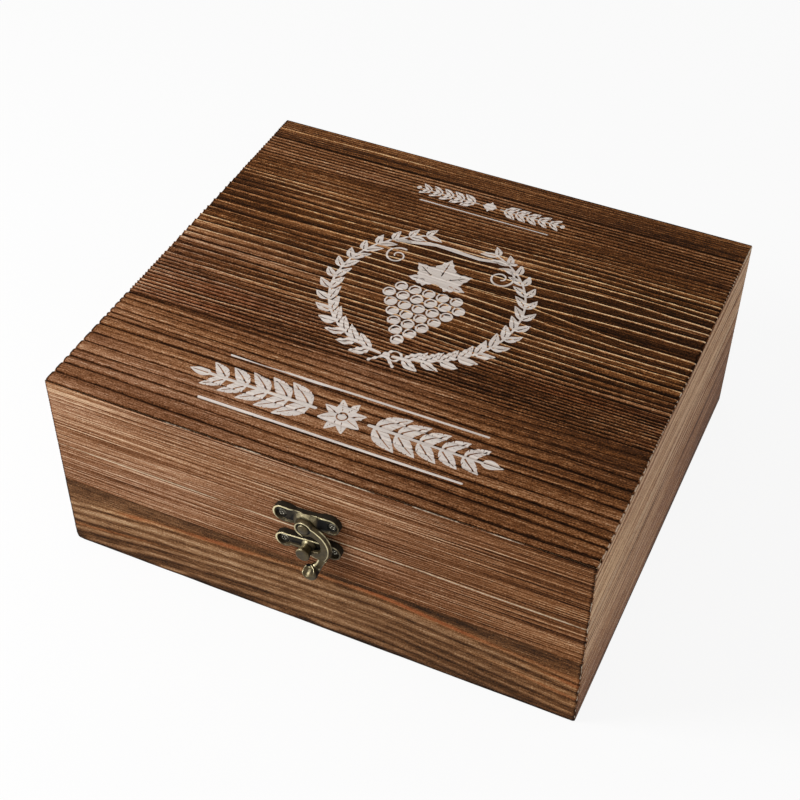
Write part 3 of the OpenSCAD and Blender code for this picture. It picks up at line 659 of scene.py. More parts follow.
class Nodes:
    """The nodes of a material or world. Their inputs are numbers or other nodes' outputs."""

    def __init__(self, owner):
        owner.use_nodes = True
        self.owner, self.tree = owner, owner.node_tree
        self.shader = self.tree.nodes.get("Principled BSDF")

    def feed(self, node, inputs):
        for key, value in inputs.items():
            if isinstance(value, bpy.types.NodeSocket):
                self.tree.links.new(value, node.inputs[key])
            else:
                node.inputs[key].default_value = value

    def add(self, kind, inputs, **settings):
        made = self.tree.nodes.new("ShaderNode" + kind)
        for key, value in settings.items():
            setattr(made, key, value)
        self.feed(made, inputs)
        return made

    def math(self, operation, a, b=0.0, c=0.0, clamp=False):
        return self.add("Math", {0: a, 1: b, 2: c}, operation=operation, use_clamp=clamp).outputs[0]

    def swayed(self, base, noise, much, clamp=False):
        """The base, raised and lowered by a noise that is a half on average."""
        return self.math("MULTIPLY_ADD", self.math("SUBTRACT", noise, 0.5), much, base, clamp)

    def attribute(self, name, output="Fac"):
        return self.add("Attribute", {}, attribute_name=name).outputs[output]

    def cloud(self, vector, scale, detail, rough=0.5):
        wanted = {"Vector": vector, "Scale": scale, "Detail": detail, "Roughness": rough}
        return self.add("TexNoise", wanted).outputs["Fac"]

    def stretched(self, grain, scale, detail, rough, offset=(0, 0, 0)):
        """A noise with its own scale along the grain, across it and into the wood."""
        vector = self.add("Mapping", {"Vector": grain, "Scale": scale, "Location": offset}).outputs[0]
        return self.cloud(vector, 1.0, detail, rough)

    def span(self, value, low, high, to_low=0.0, to_high=1.0):
        wanted = {"Value": value, "From Min": low, "From Max": high, "To Min": to_low, "To Max": to_high}
        return self.add("MapRange", wanted, clamp=True).outputs[0]

    def colours(self, value, stops):
        """The colour at this value between stops, each of which is a place and a colour."""
        made = self.add("ValToRGB", {"Fac": value})
        line = made.color_ramp
        while len(line.elements) < len(stops):
            line.elements.new(1.0)
        for element, (place, colour) in zip(line.elements, stops):
            element.position, element.color = place, tone(*colour)
        return made.outputs["Color"]

    def blend(self, share, a, b):
        return self.add("Mix", {0: share, 6: a, 7: b}, data_type="RGBA", blend_type="MIX").outputs[2]

    def shade(self, colour, rough, height, distance, strength, constants):
        """Finishes a material with its colour, roughness and bump, and constants for its shader."""
        bump = self.add("Bump", {"Height": height, "Distance": distance, "Strength": strength}).outputs[0]
        self.feed(self.shader, {"Base Color": colour, "Roughness": rough, "Normal": bump, **constants})
        return self.owner

    def show_white(self, kind, behind, share, output):
        """Plain white for what the camera, a mirror or glass sees of this, which doesn't light the box."""
        white = self.add(kind, {"Color": (1, 1, 1, 1), "Strength": 1.0}).outputs[0]
        path = self.add("LightPath", {}).outputs
        seen = self.math("MAXIMUM", path["Is Camera Ray"], path["Is Glossy Ray"])
        seen = self.math("MAXIMUM", seen, path["Is Transmission Ray"])
        if share < 1:
            seen = self.math("MULTIPLY", seen, share)
        mixed = self.add("MixShader", {0: seen, 1: behind.outputs[0], 2: white}).outputs[0]
        self.feed(self.tree.nodes[output], {0: mixed})


# The wood's colours at five degrees of burn.
BURNS = (0, 0.25, 0.5, 0.75, 1)
COOL = ((212, 177, 147), (159, 114, 84), (109, 67, 39), (59, 33, 17), (21, 11, 5))
AMBER = ((248, 211, 160), (191, 137, 88), (119, 72, 36), (60, 34, 16), (22, 11, 5))
OLIVE = ((204, 171, 136), (154, 116, 82), (105, 70, 43), (56, 36, 21), (20, 12, 6))
ORANGE = ((215, 150, 100), (165, 97, 57), (140, 78, 44), (80, 40, 20), (34, 13, 4))


def burnt_wood(name, lines, dashes, specks, plain=COOL):
    """Softwood that was scorched and brushed: pale ridges, dark grooves, and rubbed arrises."""
    n = Nodes(bpy.data.materials.new(name))
    grain = n.attribute("grain", "Vector")
    fibre = n.stretched(grain, (0.011, 1.35, 0.0), 2.0, 0.55)
    dash = n.stretched(grain, (0.22, 1.9, 0.0), 1.0, 0.5, (7, 3, 0))
    speck = n.stretched(grain, (1.2, 2.3, 0.0), 2.0, 0.6, (1, 8, 0))
    patch = n.stretched(grain, (0.5, 0.5, 0.5), 3.0, 0.6, (2, 5, 1))
    burn = n.swayed(n.swayed(n.attribute("burn"), fibre, lines), dash, dashes)
    burn = n.swayed(burn, speck, specks, clamp=True)
    looks = [n.colours(burn, list(zip(BURNS, c))) for c in (plain, AMBER, ORANGE)]
    colour = n.blend(n.attribute("hot"), n.blend(n.attribute("warm"), looks[0], looks[1]), looks[2])
    rub = n.span(n.swayed(n.attribute("bare"), patch, 1.0), 0.28, 0.7)
    colour = n.blend(rub, colour, tone(226, 208, 184))
    depth = n.add("SeparateXYZ", {0: grain}).outputs[2]
    rough = n.span(n.math("MULTIPLY_ADD", fibre, 0.25, depth), 0.1, 0.6, 0.5, 0.85)
    height = n.math("ADD", dash, n.math("ADD", speck, fibre))
    return n.shade(colour, rough, height, 0.00018, 1.0, {"Specular IOR Level": 0.03})


def raw_wood(name, low, high, late):
    """Bare softwood: its rings are shells round a pith outside the board, cut by whatever face shows."""
    n = Nodes(bpy.data.materials.new(name))
    grain = n.attribute("grain", "Vector")
    parts = n.add("SeparateXYZ", {0: grain}).outputs
    wave = n.stretched(grain, (0.006, 0.03, 0.03), 2.0, 0.5)
    fibre = n.stretched(grain, (0.05, 2.4, 2.4), 4.0, 0.6)
    pore = n.stretched(grain, (0.3, 7.0, 7.0), 1.0, 0.5, (4, 0, 2))
    across, deep = n.math("ADD", parts[1], -30.0), n.math("ADD", parts[2], 55.0)
    far = n.math("SQRT", n.math("MULTIPLY_ADD", deep, deep, n.math("MULTIPLY", across, across)))
    ring = n.math("FRACT", n.math("MULTIPLY_ADD", wave, 9.0, n.math("MULTIPLY", far, 0.42)))
    line = n.math("MULTIPLY", n.span(ring, 0.35, 0.92), n.span(ring, 1.0, 0.94))
    colour = n.colours(fibre, [(0.3, low), (0.7, high)])
    colour = n.blend(n.math("MULTIPLY", line, 0.75), colour, tone(*late))
    colour = n.blend(n.math("MULTIPLY", n.span(pore, 0.62, 0.75), 0.35), colour, tone(*late))
    rough, height = n.span(fibre, 0.3, 0.7, 0.62, 0.8), n.math("MULTIPLY_ADD", line, 0.3, fibre)
    return n.shade(colour, rough, height, 0.0001, 0.7, {"Specular IOR Level": 0.3})


def print_ink(name):
    """Pale ink: the wood's lines show through it a little and its gloss is lower in the grooves."""
    n = Nodes(bpy.data.materials.new(name))
    grain = n.attribute("grain", "Vector")
    fibre = n.stretched(grain, (0.03, 1.1, 0.0), 4.0, 0.7)
    speck = n.stretched(grain, (0.9, 2.4, 0.0), 3.0, 0.7)
    depth = n.add("SeparateXYZ", {0: grain}).outputs[2]
    stops = [(0.3, (196, 180, 168)), (0.5, (216, 206, 199)), (0.72, (232, 220, 206))]
    colour = n.colours(n.swayed(fibre, speck, 0.5), stops)
    colour = n.blend(n.span(depth, 0.3, 0.75, 0.0, 0.5), colour, tone(178, 160, 148))
    rough = n.span(speck, 0.3, 0.7, 0.5, 0.7)
    return n.shade(colour, rough, n.math("ADD", fibre, speck), 0.00006, 0.6, {"Specular IOR Level": 0.2})


def cast_metal(name, dark, mid, bright):
    """Plated die casting: nearly black in its hollows, partly patina and partly painted shade, olive on its
    faces, bright where hands rub it and where a highlight is painted.
    """
    n = Nodes(bpy.data.materials.new(name))
    place = n.add("TexCoord", {}).outputs["Object"]
    cloud = n.cloud(place, 420.0, 5.0, 0.65)
    grit = n.cloud(place, 2600.0, 3.0, 0.7)
    # Dark where the hollows and side walls hold patina and painted shade.
    sunk = n.swayed(n.attribute("deep"), grit, 0.5)
    colour = n.colours(cloud, [(0.32, mid[0]), (0.68, mid[1])])
    colour = n.blend(n.span(sunk, 0.15, 0.8), colour, tone(*dark))
    # Bright where rubbed wear and a painted highlight lie.
    rub = n.span(n.swayed(n.attribute("wear_and_highlight"), cloud, 0.7), 0.25, 0.75)
    colour = n.blend(rub, colour, tone(*bright))
    rough = n.swayed(n.span(rub, 0.0, 1.0, 0.46, 0.24), cloud, 0.35)
    rough = n.math("MULTIPLY_ADD", n.span(sunk, 0.15, 0.8), 0.25, rough, clamp=True)
    return n.shade(colour, rough, n.math("MULTIPLY_ADD", grit, 0.5, cloud), 0.00006, 0.6, {"Metallic": 0.6})


# How strongly each slot's fibres, dashes and specks show.
STRENGTHS = {
    "wall_wood": (1.6, 0.45, 0.8),
    "wavy_wood": (0.6, 0.5, 0.95, OLIVE),
    "top_wood": (0.9, 0.65, 1.05),
    "panel_wood": (1.2, 0.7, 0.9),
}
SKIN = {slot: burnt_wood("burnt_" + slot, *much) for slot, much in STRENGTHS.items()}
RAW = raw_wood("sawn_wood", (206, 172, 128), (226, 198, 156), (178, 130, 82))
PRINT = print_ink("print_ink")
CAST_BRONZE = cast_metal("antique_bronze", (12, 9, 6), ((48, 39, 22), (84, 71, 42)), (222, 208, 164))
SCREW_METAL = cast_metal("screw_metal", (8, 7, 6), ((42, 37, 29), (76, 69, 55)), (235, 230, 210))


# The boards.
TOP_GRID = lid_grid()
BASE_INNER = [(WALL, SAW_LOW), (WALL, BOTTOM), (BOTTOM, BOTTOM), (BOTTOM, 0)]
LOWER_INNER = [(WALL, GLUE_H)] + BASE_INNER[1:]
RAIL_INNER = [(WALL, H - WALL), (WALL, SAW_HIGH)]
for side in ("back", "left", "right"):
    wall_board("base_%s_board" % side, "base", side, BASE_ROWS, BASE_INNER, (1, 0))
wall_board("base_front_lower_strip", "base", "front", LOW_ROWS, LOWER_INNER, (1, 0), "wavy_wood")
wall_board("base_front_upper_strip", "base", "front", HIGH_ROWS, [(WALL, SAW_LOW), (WALL, GLUE_H)])
for side in ("front", "back"):
    wall_board("lid_%s_rail" % side, "lid", side, LID_ROWS, RAIL_INNER)
for side in ("left", "right"):
    rail("lid_%s_rail" % side, side)
top_strip("top_back_strip", 0, BACK_SEAM)
top_strip("top_middle_strip", BACK_SEAM, FRONT_SEAM)
top_strip("top_front_strip", FRONT_SEAM, D)


def bottom_panel():
    """The panel let into the underside: scorched below, bare inside the box."""
    low, high = (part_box("bottom_panel")[k] * 1000 for k in (0, 1))
    width, across, thick = high - low
    s, t = grid(places(0, width, 4.0), places(0, across, 0.5))
    relief, burn, warm = plain_face(5, 0.5, 0.16)(s[0], t[:, 0])
    looks = {"burn": burn + 0.12, "warm": warm, "bare": 0.0, "hot": 0.0}
    axes = ((low.x, high.y, low.z), (1, 0, 0), (0, -1, 0), (0, 0, -1))
    inner = [(thick, across), (thick, 0)]
    board("bottom_panel", "base", "panel_wood", axes, [(s, t, relief + 0.02, looks)], inner, width, mitre=0)


bottom_panel()


# The print on the lid: thin films laid on the ridges and grooves, cut where a drawing's field is zero.
# A drawing gives the fields of its shapes, which are distances in millimetres, negative inside.
FILM_RISE, FILM_SINK = 0.035, 0.06


def lid_depth(u, v):
    """How far the lid's face lies below the box's height at these places."""
    i = np.clip(np.searchsorted(ALONG_V, v, side="right") - 1, 0, len(ALONG_V) - 2)
    j = np.clip(np.searchsorted(ALONG_X, u, side="right") - 1, 0, len(ALONG_X) - 2)
    f = (v - ALONG_V[i]) / (ALONG_V[i + 1] - ALONG_V[i])
    g = (u - ALONG_X[j]) / (ALONG_X[j + 1] - ALONG_X[j])
    d = TOP_GRID["depth"]
    return toward(toward(d[i, j], d[i, j + 1], g), toward(d[i + 1, j], d[i + 1, j + 1], g), f)


def film(name, drawing, low, high):
    """A film where the drawing is, between two corners of the lid's face."""
    u, v = np.arange(low[0], high[0] + 0.01, 0.5), np.arange(low[1], high[1] + 0.01, 0.25)
    field = functools.reduce(np.minimum, drawing(u[None, :], v[:, None]))
    field = np.where(np.abs(field) < 1e-4, 1e-4, field)
    corners = np.stack(np.meshgrid(u, v), -1)
    points, ids = [corners.reshape(-1, 2)], [np.arange(field.size).reshape(field.shape)]
    for a, b in ((np.s_[:, :-1], np.s_[:, 1:]), (np.s_[:-1], np.s_[1:])):
        t = np.clip(field[a] / (field[a] - field[b] + 1e-12), 0.03, 0.97)
        ids.append(sum(len(p) for p in points) + np.arange(t.size).reshape(t.shape))
        points.append(toward(corners[a], corners[b], t[..., None]).reshape(-1, 2))
    at = np.concatenate(points)
    corner_id, across_id, along_id = ids
    ids = [corner_id[:-1, :-1], across_id[:-1], corner_id[:-1, 1:], along_id[:, 1:],
           corner_id[1:, 1:], across_id[1:], corner_id[1:, :-1], along_id[:, :-1]]
    case = sum((field.ravel()[ids[2 * k]] < 0).astype(int) << k for k in range(4))
    top, rim = [], []
    for kind in range(1, 16):
        cells = np.nonzero(case == kind)
        if not len(cells[0]):
            continue
        has = [kind >> k & 1 for k in (0, 1, 2, 3, 0)]
        walk = [w for k in range(4) for w in [2 * k] * has[k] + [2 * k + 1] * (has[k] != has[k + 1])]
        ring = np.stack([ids[w][cells] for w in walk], 1)
        top += ring.tolist()
        for k, w in enumerate(walk):
            after = (k + 1) % len(walk)
            if w % 2 and walk[after] % 2:
                rim += ring[:, [k, after]].tolist()
    used = np.unique(np.concatenate([np.array(f) for f in top]))
    new = np.full(len(at), -1)
    new[used] = np.arange(len(used))
    at, count = at[used], len(used)
    depth = lid_depth(at[:, 0], at[:, 1])
    place = np.stack([at[:, 0] - W / 2, D / 2 - at[:, 1], H - depth + FILM_RISE], 1)
    under = place - np.array([0, 0, FILM_RISE + FILM_SINK])
    upper = [new[f][::-1].tolist() for f in top]
    lower = [[p + count for p in f][::-1] for f in upper]
    sides = [[a, b, b + count, a + count] for a, b in new[np.array(rim)].tolist()]
    smooth = [True] * len(upper) + [False] * (len(lower) + len(sides))
    grain = np.tile(np.stack([at[:, 0], at[:, 1], depth], 1), (2, 1))
    points, faces = np.concatenate([place, under]), upper + lower + sides
    made = mesh_of(name, points, faces, [PRINT], smooth=smooth, grain=grain)
    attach(made, "lid")


# Stands for a cut that takes nothing away.
NO_CUT = -9.0


def turned(x, y, degrees):
    """Coordinates along a direction and across it."""
    c, s = math.cos(math.radians(degrees)), math.sin(math.radians(degrees))
    return c * x + s * y, c * y - s * x


def round_at(centre, r, degrees):
    """The place on a circle at this angle."""
    x, y = turned(r, 0, -degrees)
    return centre[0] + x, centre[1] + y


def disc(x, y, centre, r):
    """A round shape."""
    return np.hypot(x - centre[0], y - centre[1]) - r


def stroke(u, v, a, b, half):
    """A straight stroke with round ends."""
    ex, ey = b[0] - a[0], b[1] - a[1]
    t = unit(((u - a[0]) * ex + (v - a[1]) * ey) / (ex * ex + ey * ey + 1e-12))
    return np.hypot(u - a[0] - t * ex, v - a[1] - t * ey) - half


def chain(u, v, points, halves):
    """Strokes from each point to the next."""
    return functools.reduce(np.minimum, (stroke(u, v, *pair) for pair in zip(points, points[1:], halves)))


def leaf_shape(u, v, base, angle, length, width, bend=0.0, rib=0.32):
    """A pointed leaf from its base, split by its midrib and notched by a few veins."""
    x, y = turned(u - base[0], v - base[1], angle)
    x = x / length
    y = y - bend * width * x * (1 - x) * 2
    t = unit(x)
    half = width / 2 * np.sin(np.pi * t**0.8) ** 0.9 * (1 - 0.25 * t)
    past = np.maximum(np.abs(y), np.abs(x - t) * length) + 0.01
    body = np.where((x > 0) & (x < 1), np.abs(y) - half, past)
    split = np.where((x > 0.1) & (x < 0.86), rib * (1 - 0.6 * t) - np.abs(y), NO_CUT)
    vein = (x * length - np.abs(y) * 1.1) / (length * 0.19) + 0.5
    vein = 0.16 - np.abs(vein - np.round(vein)) * length * 0.19
    vein = np.where((np.abs(y) > 0.3 * half) & (x > 0.16) & (x < 0.8), vein, NO_CUT)
    return np.maximum(np.maximum(body, split), vein if width > 5.5 else NO_CUT)


def vine_lobe(u, v, base, angle, length, width):
    """One toothed lobe of a vine leaf, with its rib left open."""
    x, y = turned(u - base[0], v - base[1], angle)
    x, y = x / length, np.abs(y)
    t = unit(x)
    tooth = 1 + 0.16 * (np.abs((t * 5) % 1 - 0.5) * 4 - 1) * (t > 0.25)
    half = width / 2 * np.where(t < 0.45, 0.45 + 1.2 * t, 1.8 * (1 - t)) * tooth
    body = np.where((x > -0.02) & (x < 1), y - half, np.maximum(y, np.abs(x - t) * length) + 0.01)
    rib = np.where((x > 0.14) & (x < 0.8), 0.34 * (1 - 0.5 * t) - y, NO_CUT)
    branch = np.minimum(*(np.abs(x * length - y * 0.9 - length * at) for at in (0.34, 0.58)))
    return np.maximum(np.maximum(body, rib), np.where((y < 0.62 * half) & (x < 0.9), 0.2 - branch, NO_CUT))


def curl(u, v, centre, r0, r1, first, last, half):
    """A spiral stroke: its radius goes from r0 to r1 as its angle goes from first to last."""
    steps = np.arange(41) / 40
    line = [round_at(centre, toward(r0, r1, t), toward(first, last, t)) for t in steps]
    return chain(u, v, line, half * (1 - 0.35 * steps[1:]))


def wreath(u, v, middle=(W / 2, 97.0), r=43.0):
    """Two leafy branches that rise from a tie at the bottom and almost meet at the top."""
    bow = (middle[0], middle[1] + r)
    yield disc(u, v, bow, 1.7)
    for side in (-1, 1):
        stem = [round_at(middle, r, 90 - side * (4 + k * 2.62)) for k in range(60)]
        yield chain(u, v, stem, 0.62 - 0.004 * np.arange(1, 60))
        for k in range(15):
            angle, size = 90 - side * (10 + k * 10.4), 1 - 0.018 * k
            for lean, long in ((34, 11.5), (-38, 9.6)):
                base, ahead = round_at(middle, r, angle), angle - side * (90 + lean)
                yield leaf_shape(u, v, base, ahead, long * size, 5.0 * size, 0.25 * side)
        loop, first = (bow[0] + side * 3.6, bow[1] - 0.6), -90 - side * 90
        yield curl(u, v, loop, 3.4, 2.6, first, first + 180 + side * 150, 0.6)
        yield stroke(u, v, bow, (bow[0] + side * 5.5, bow[1] + 5.6), 0.65)


def grapes(u, v):
    """A bunch of grapes under a vine leaf, two tendrils and a piece of its cane."""
    for row, count in enumerate((5, 6, 5, 4, 3, 2, 1)):
        for k in range(count):
            x, y = W / 2 + (k - (count - 1) / 2) * 6.6, 95.5 + row * 5.6
            glint = np.maximum(disc(u, v, (x - 0.1, y - 0.1), 2.1), -disc(u, v, (x + 0.75, y + 0.8), 2.2))
            yield np.maximum(disc(u, v, (x, y), 2.95), -glint)
    for angle, long, wide in ((-90, 17, 12), (-146, 16, 11), (-34, 16, 11), (172, 14, 8.5), (8, 14, 8.5)):
        yield vine_lobe(u, v, (W / 2, 86.0), angle, long, wide)
    yield chain(u, v, [(92.5, 66.0), (109.0, 62.0), (131.0, 63.2), (147.0, 60.2)], [1.0, 1.0, 0.9])
    yield curl(u, v, (144.5, 72.0), 7.0, 1.4, -115, 420, 0.55)
    yield curl(u, v, (96.0, 76.5), 6.0, 1.2, -70, -560, 0.5)


def sprig(u, v, y, side, stem, half, first, pitch, lean, long, wide, bend=0.0, rib=0.32):
    """A stem that runs out to one side from the middle, with five pairs of leaves that grow shorter."""
    yield stroke(u, v, (W / 2 + side * stem[0], y), (W / 2 + side * stem[1], y), half)
    for k in range(5):
        for sign in (-1, 1):
            base, angle = (W / 2 + side * (first + pitch * k), y), 90 - side * 90 + side * sign * lean
            size = long[0] - long[1] * k, wide[0] - wide[1] * k
            yield leaf_shape(u, v, base, angle, *size, sign * side * bend, rib)


def rule(u, v, y, reach, half):
    """A straight line across the middle."""
    return stroke(u, v, (W / 2 - reach, y), (W / 2 + reach, y), half)


def small_band(u, v, y=24.5):
    """A sprig with a berry at each end and a diamond in its middle, over a short rule."""
    yield rule(u, v, 33.2, 32, 0.45)
    yield (np.abs(u - W / 2) + np.abs(v - y)) * 0.7 - 2.6
    for side in (-1, 1):
        yield from sprig(u, v, y, side, (5.5, 34), 0.5, 7.5, 5.6, 36, (8.4, 0.5), (3.9, 0.2))
        yield disc(u, v, (W / 2 + side * 36.2, y), 1.25)


def large_band(u, v, y=181.5):
    """Broad leaves that run out both ways from a rosette, between two rules."""
    for above in (-13.9, 13.9):
        yield rule(u, v, y + above, 58, 0.5)
    for k in range(8):
        petal = leaf_shape(u, v, (W / 2, y), k * 45 + 22.5, 10.2, 5.4, 0.0, 0.3)
        yield np.maximum(petal, -disc(u, v, (W / 2, y), 2.6))
    yield disc(u, v, (W / 2, y), 1.9)
    for side in (-1, 1):
        yield from sprig(u, v, y, side, (12, 60), 0.75, 14.5, 9.6, 38, (16.0, 1.1), (8.0, 0.5), 0.15, 0.4)
        yield leaf_shape(u, v, (W / 2 + side * 60, y), 90 - side * 90, 10, 5.4)


film("print_wreath", wreath, (66, 44), (174, 150))
film("print_grapes", grapes, (86, 54), (156, 134))
film("print_band_top", small_band, (78, 15.5), (162, 35))
film("print_band_bottom", large_band, (46, 165), (194, 198))


# Cast metal. A piece is a field of distances on a grid, negative inside it, and its mesh is where
# the field is zero.
CELL_CORNERS = [np.array([a, b, c]) for a in (0, 1) for b in (0, 1) for c in (0, 1)]
AXES = np.eye(3, dtype=int)
# Keeps a flat face from lying exactly on a layer of the grid, where its sign would be chance.
OFF_GRID = 0.0007
# How close the layers of the grids are.
COARSE_STEP, STEP, FINE_STEP, FINEST_STEP = 0.18, 0.15, 0.14, 0.12


def outside(x, low, high):
    """The distance out of a span, negative inside it."""
    return np.abs(x - (low + high) / 2) - (high - low) / 2


def rounded(a, b, r):
    """Where two distances are both negative, with their corner rounded."""
    a, b = a + r, b + r
    return np.hypot(np.maximum(a, 0), np.maximum(b, 0)) + np.minimum(np.maximum(a, b), 0) - r


def slab(x, y, low, high, r=0.0):
    """A rectangle between two corners, with rounded corners."""
    return rounded(outside(x, low[0], high[0]), outside(y, low[1], high[1]), r)


def raised(flat, z, low, high, r):
    """An outline from one height to another, with its edges rounded."""
    return rounded(flat, outside(z, low, high), r)


def outlined(x, y, points):
    """The distance to a closed outline."""
    x, y = np.broadcast_arrays(x, y)
    best, inside = np.full(x.shape, 1e9), np.zeros(x.shape, bool)
    for a, b in zip(points, points[1:] + points[:1]):
        best = np.minimum(best, stroke(x, y, a, b, 0))
        crossing = a[0] + (y - a[1]) / (b[1] - a[1] + 1e-12) * (b[0] - a[0])
        inside ^= ((a[1] > y) != (b[1] > y)) & (x < crossing)
    return np.where(inside, -best, best)


def melt(a, b, soft):
    """Both shapes, run together where they meet."""
    h = unit(0.5 + 0.5 * (b - a) / soft)
    return b + (a - b) * h - soft * h * (1 - h)


def carve(a, b, soft):
    """The first shape without the second."""
    return -melt(-a, b, soft)


def sampled(field, at):
    """The field at places given in steps of its grid."""
    at = np.clip(at, 0, np.array(field.shape) - 1.001)
    i = at.astype(int)
    f = at - i
    return sum(np.prod(np.where(o, f, 1 - f), axis=1) * field[tuple((i + o).T)] for o in CELL_CORNERS)


def blurred(field, reach):
    """The field averaged over a box that reaches this many steps each way, twice."""
    for axis in (0, 1, 2, 0, 1, 2):
        width = [(0, 0)] * 3
        width[axis] = (reach + 1, reach)
        total = np.cumsum(np.pad(field, width, mode="edge"), axis=axis)
        count = field.shape[axis]
        late = np.take(total, range(2 * reach + 1, 2 * reach + 1 + count), axis=axis)
        field = (late - np.take(total, range(count), axis=axis)) / (2 * reach + 1)
    return field


def zero_surface(field):
    """Points, in steps of the grid, and faces of the surface where the field is zero."""
    inside = field < 0
    shape = np.array(field.shape) - 1
    count = sum(inside[tuple(slice(s, s + n) for s, n in zip(o, shape))].astype(int) for o in CELL_CORNERS)
    cells = np.argwhere((count > 0) & (count < 8))
    number = np.full(shape, -1)
    number[tuple(cells.T)] = np.arange(len(cells))
    total, hits, faces = np.zeros((len(cells), 3)), np.zeros(len(cells)), []
    for axis, step in enumerate(AXES):
        for first in (cells + o for o in CELL_CORNERS if not o[axis]):
            f0, f1 = field[tuple(first.T)], field[tuple((first + step).T)]
            cross = (f0 < 0) != (f1 < 0)
            t = np.where(cross, f0 / np.where(cross, f0 - f1, 1), 0)
            total += cross[:, None] * (first + t[:, None] * step)
            hits += cross
        b, c = AXES[(axis + 1) % 3], AXES[(axis + 2) % 3]
        near = inside[tuple(slice(0, n - s) for n, s in zip(field.shape, step))]
        past = inside[tuple(slice(s, n) for n, s in zip(field.shape, step))]
        edges = np.argwhere(near != past)
        edges = edges[((edges - b - c) >= 0).all(1) & (edges < shape).all(1)]
        ring = np.stack([number[tuple((edges - s).T)] for s in (b + c, c, 0 * b, b)], 1)
        faces.append(np.where(near[tuple(edges.T)][:, None], ring, ring[:, ::-1]))
    return total / hits[:, None], np.concatenate(faces)


def cast(field_of, low, high, step, look=None, rub=1.0):
    """A cast form: its points in millimetres, its faces, how worn each point is with a painted highlight
    added, and how deep each point lies with painted shade added.
    """
    low = np.array(low, float)
    shape = np.ceil((np.array(high) - low) / step).astype(int) + 1
    x, y, z = (low[k] + step * np.arange(shape[k]) for k in range(3))
    field = field_of(x[:, None, None], y[None, :, None], z[None, None, :])
    field = np.broadcast_to(field, shape) + OFF_GRID
    points, faces = zero_surface(field)
    for _ in range(2):
        off = sampled(field, points)
        slope = np.stack([sampled(field, points + e) - sampled(field, points - e) for e in AXES * 0.5], 1)
        move = -off[:, None] * slope / ((slope**2).sum(1, keepdims=True) + 1e-6)
        points = points + np.clip(move, -0.4, 0.4)
    slope = slope / (np.linalg.norm(slope, axis=1, keepdims=True) + 1e-9)
    full = unit(0.5 - field / step)
    near, wide = (sampled(blurred(full, max(1, round(reach / step))), points) for reach in (0.22, 0.9))
    # Painted highlight: wear is made brighter on faces turned up and to the left, toward the key light.
    lit = unit(0.62 + 0.38 * slope[:, 1] - 0.15 * slope[:, 0])
    wear_and_highlight = rub * unit((0.5 - near) * 6.5 - 0.2) * unit(slope[:, 2] * 1.6 + 0.45) * lit
    # Painted shade mixed with patina: side walls and hollows are darkened, partly as an antique finish and
    # partly as the shade that falls there.
    wall = unit(0.85 - slope[:, 2] * 1.5) * unit((4.6 - low[2] - points[:, 2] * step) / 1.5)
    deep = unit((wide - 0.5) * 4.5) + 0.8 * wall
    points = low + points * step
    if look:
        more_wear_and_highlight, more_patina_and_shade = look(*points.T, slope)
        wear_and_highlight, deep = np.maximum(wear_and_highlight, more_wear_and_highlight), deep * (1 - unit(more_wear_and_highlight)) + more_patina_and_shade
    return points, faces, wear_and_highlight, unit(deep)


def placed(points, origin, tilt, side=1, flip=False):
    """A part's points, drawn on the front (side 1) or the back (side -1), in the box's frame."""
    x, y, z = points.T
    x, y = turned(x, -y if flip else y, -tilt)
    return np.stack([origin[0] + side * x, -side * (D / 2 + z), origin[1] + y], 1)


def metal_piece(name, body, material, parts, mirrored=False):
    """One piece from cast parts that are already in the box's frame."""
    points, faces, wear_and_highlight, deep = zip(*parts)
    starts = np.cumsum([0] + [len(p) for p in points])
    faces = np.concatenate([f + start for f, start in zip(faces, starts)])
    if mirrored:
        faces = faces[:, ::-1]
    values = {"wear_and_highlight": np.concatenate(wear_and_highlight), "deep": np.concatenate(deep)}
    made = mesh_of("cast_" + name, np.concatenate(points), faces.tolist(), [material], values=values)
    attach(made, body)
    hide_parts(name)


def formed(name, body, field, low, high, step, origin, tilt, look=None, side=1, flip=False, rub=1.0):
    """One piece of one cast form. One that is flipped is drawn the other way up."""
    points, *rest = cast(field, low, high, step, look, rub)
    parts = [(placed(points, origin, tilt, side, flip), *rest)]
    metal_piece(name, body, CAST_BRONZE, parts, flip)


# The latch's two plates. Each is drawn round its rivet or post, and stands on the front at a tilt.
LATCH_AT, LATCH_TILT = (0.8, 67.85), 3.5
CATCH_AT, CATCH_TILT = (1.1, 54.95), 5.0
# A plate's thickness and how far it sinks into the wood, the height of its floor, its screws' wells,
# and the hole for the rivet.
PLATE_T, PLATE_UNDER, FLOOR, WELL, HOLE_R = 3.0, -0.12, 1.8, 0.75, 1.5
LATCH_LOBE, LATCH_R = (10.65, 2.75), 4.25
CATCH_LOBE, CATCH_R = (11.05, 0.45), 3.85
LATCH_SCREW = round_at(LATCH_LOBE, LATCH_R - 3.1, -50)
CATCH_SCREW = round_at(CATCH_LOBE, CATCH_R - 3.1, -50)


def both(x, y, centre, r):
    """A disc at each end."""
    return disc(np.abs(x), y, centre, r)


def rim_height(edge):
    """The height of a plate's face at this distance in from its edge: a rounded rim, then the floor."""
    crown = np.sqrt(unit(1 - ((edge - 0.45) / 0.6) ** 2))
    return toward(FLOOR, PLATE_T, np.where(edge < 0.45, 0.72 + 0.28 * crown, crown))


def latch_flat(x, y):
    """The outline of the lid's plate."""
    lobes = melt(both(x, y, LATCH_LOBE, LATCH_R), both(x, y, (7.46, 3.7), 3.0), 1.6)
    return melt(lobes, slab(x, y, (-10.65, -1.5), (10.65, 5.9), 0.4), 0.9)


def catch_flat(x, y):
    """The outline of the base's plate."""
    flat = melt(both(x, y, CATCH_LOBE, CATCH_R), slab(x, y, (-11.05, -2.0), (11.05, 4.25), 0.3), 0.8)
    return melt(flat, disc(x, y, (0, 0), 4.2), 0.6)


def plate(flat, height, z, well):
    """A plate with this outline and this height of its face, less the wells of its screws."""
    height = height - WELL * ramp(-well, -0.15, 0.15)
    return np.maximum(carve(flat + 0 * z, (height - z) * 0.8, 0.18), PLATE_UNDER - z)


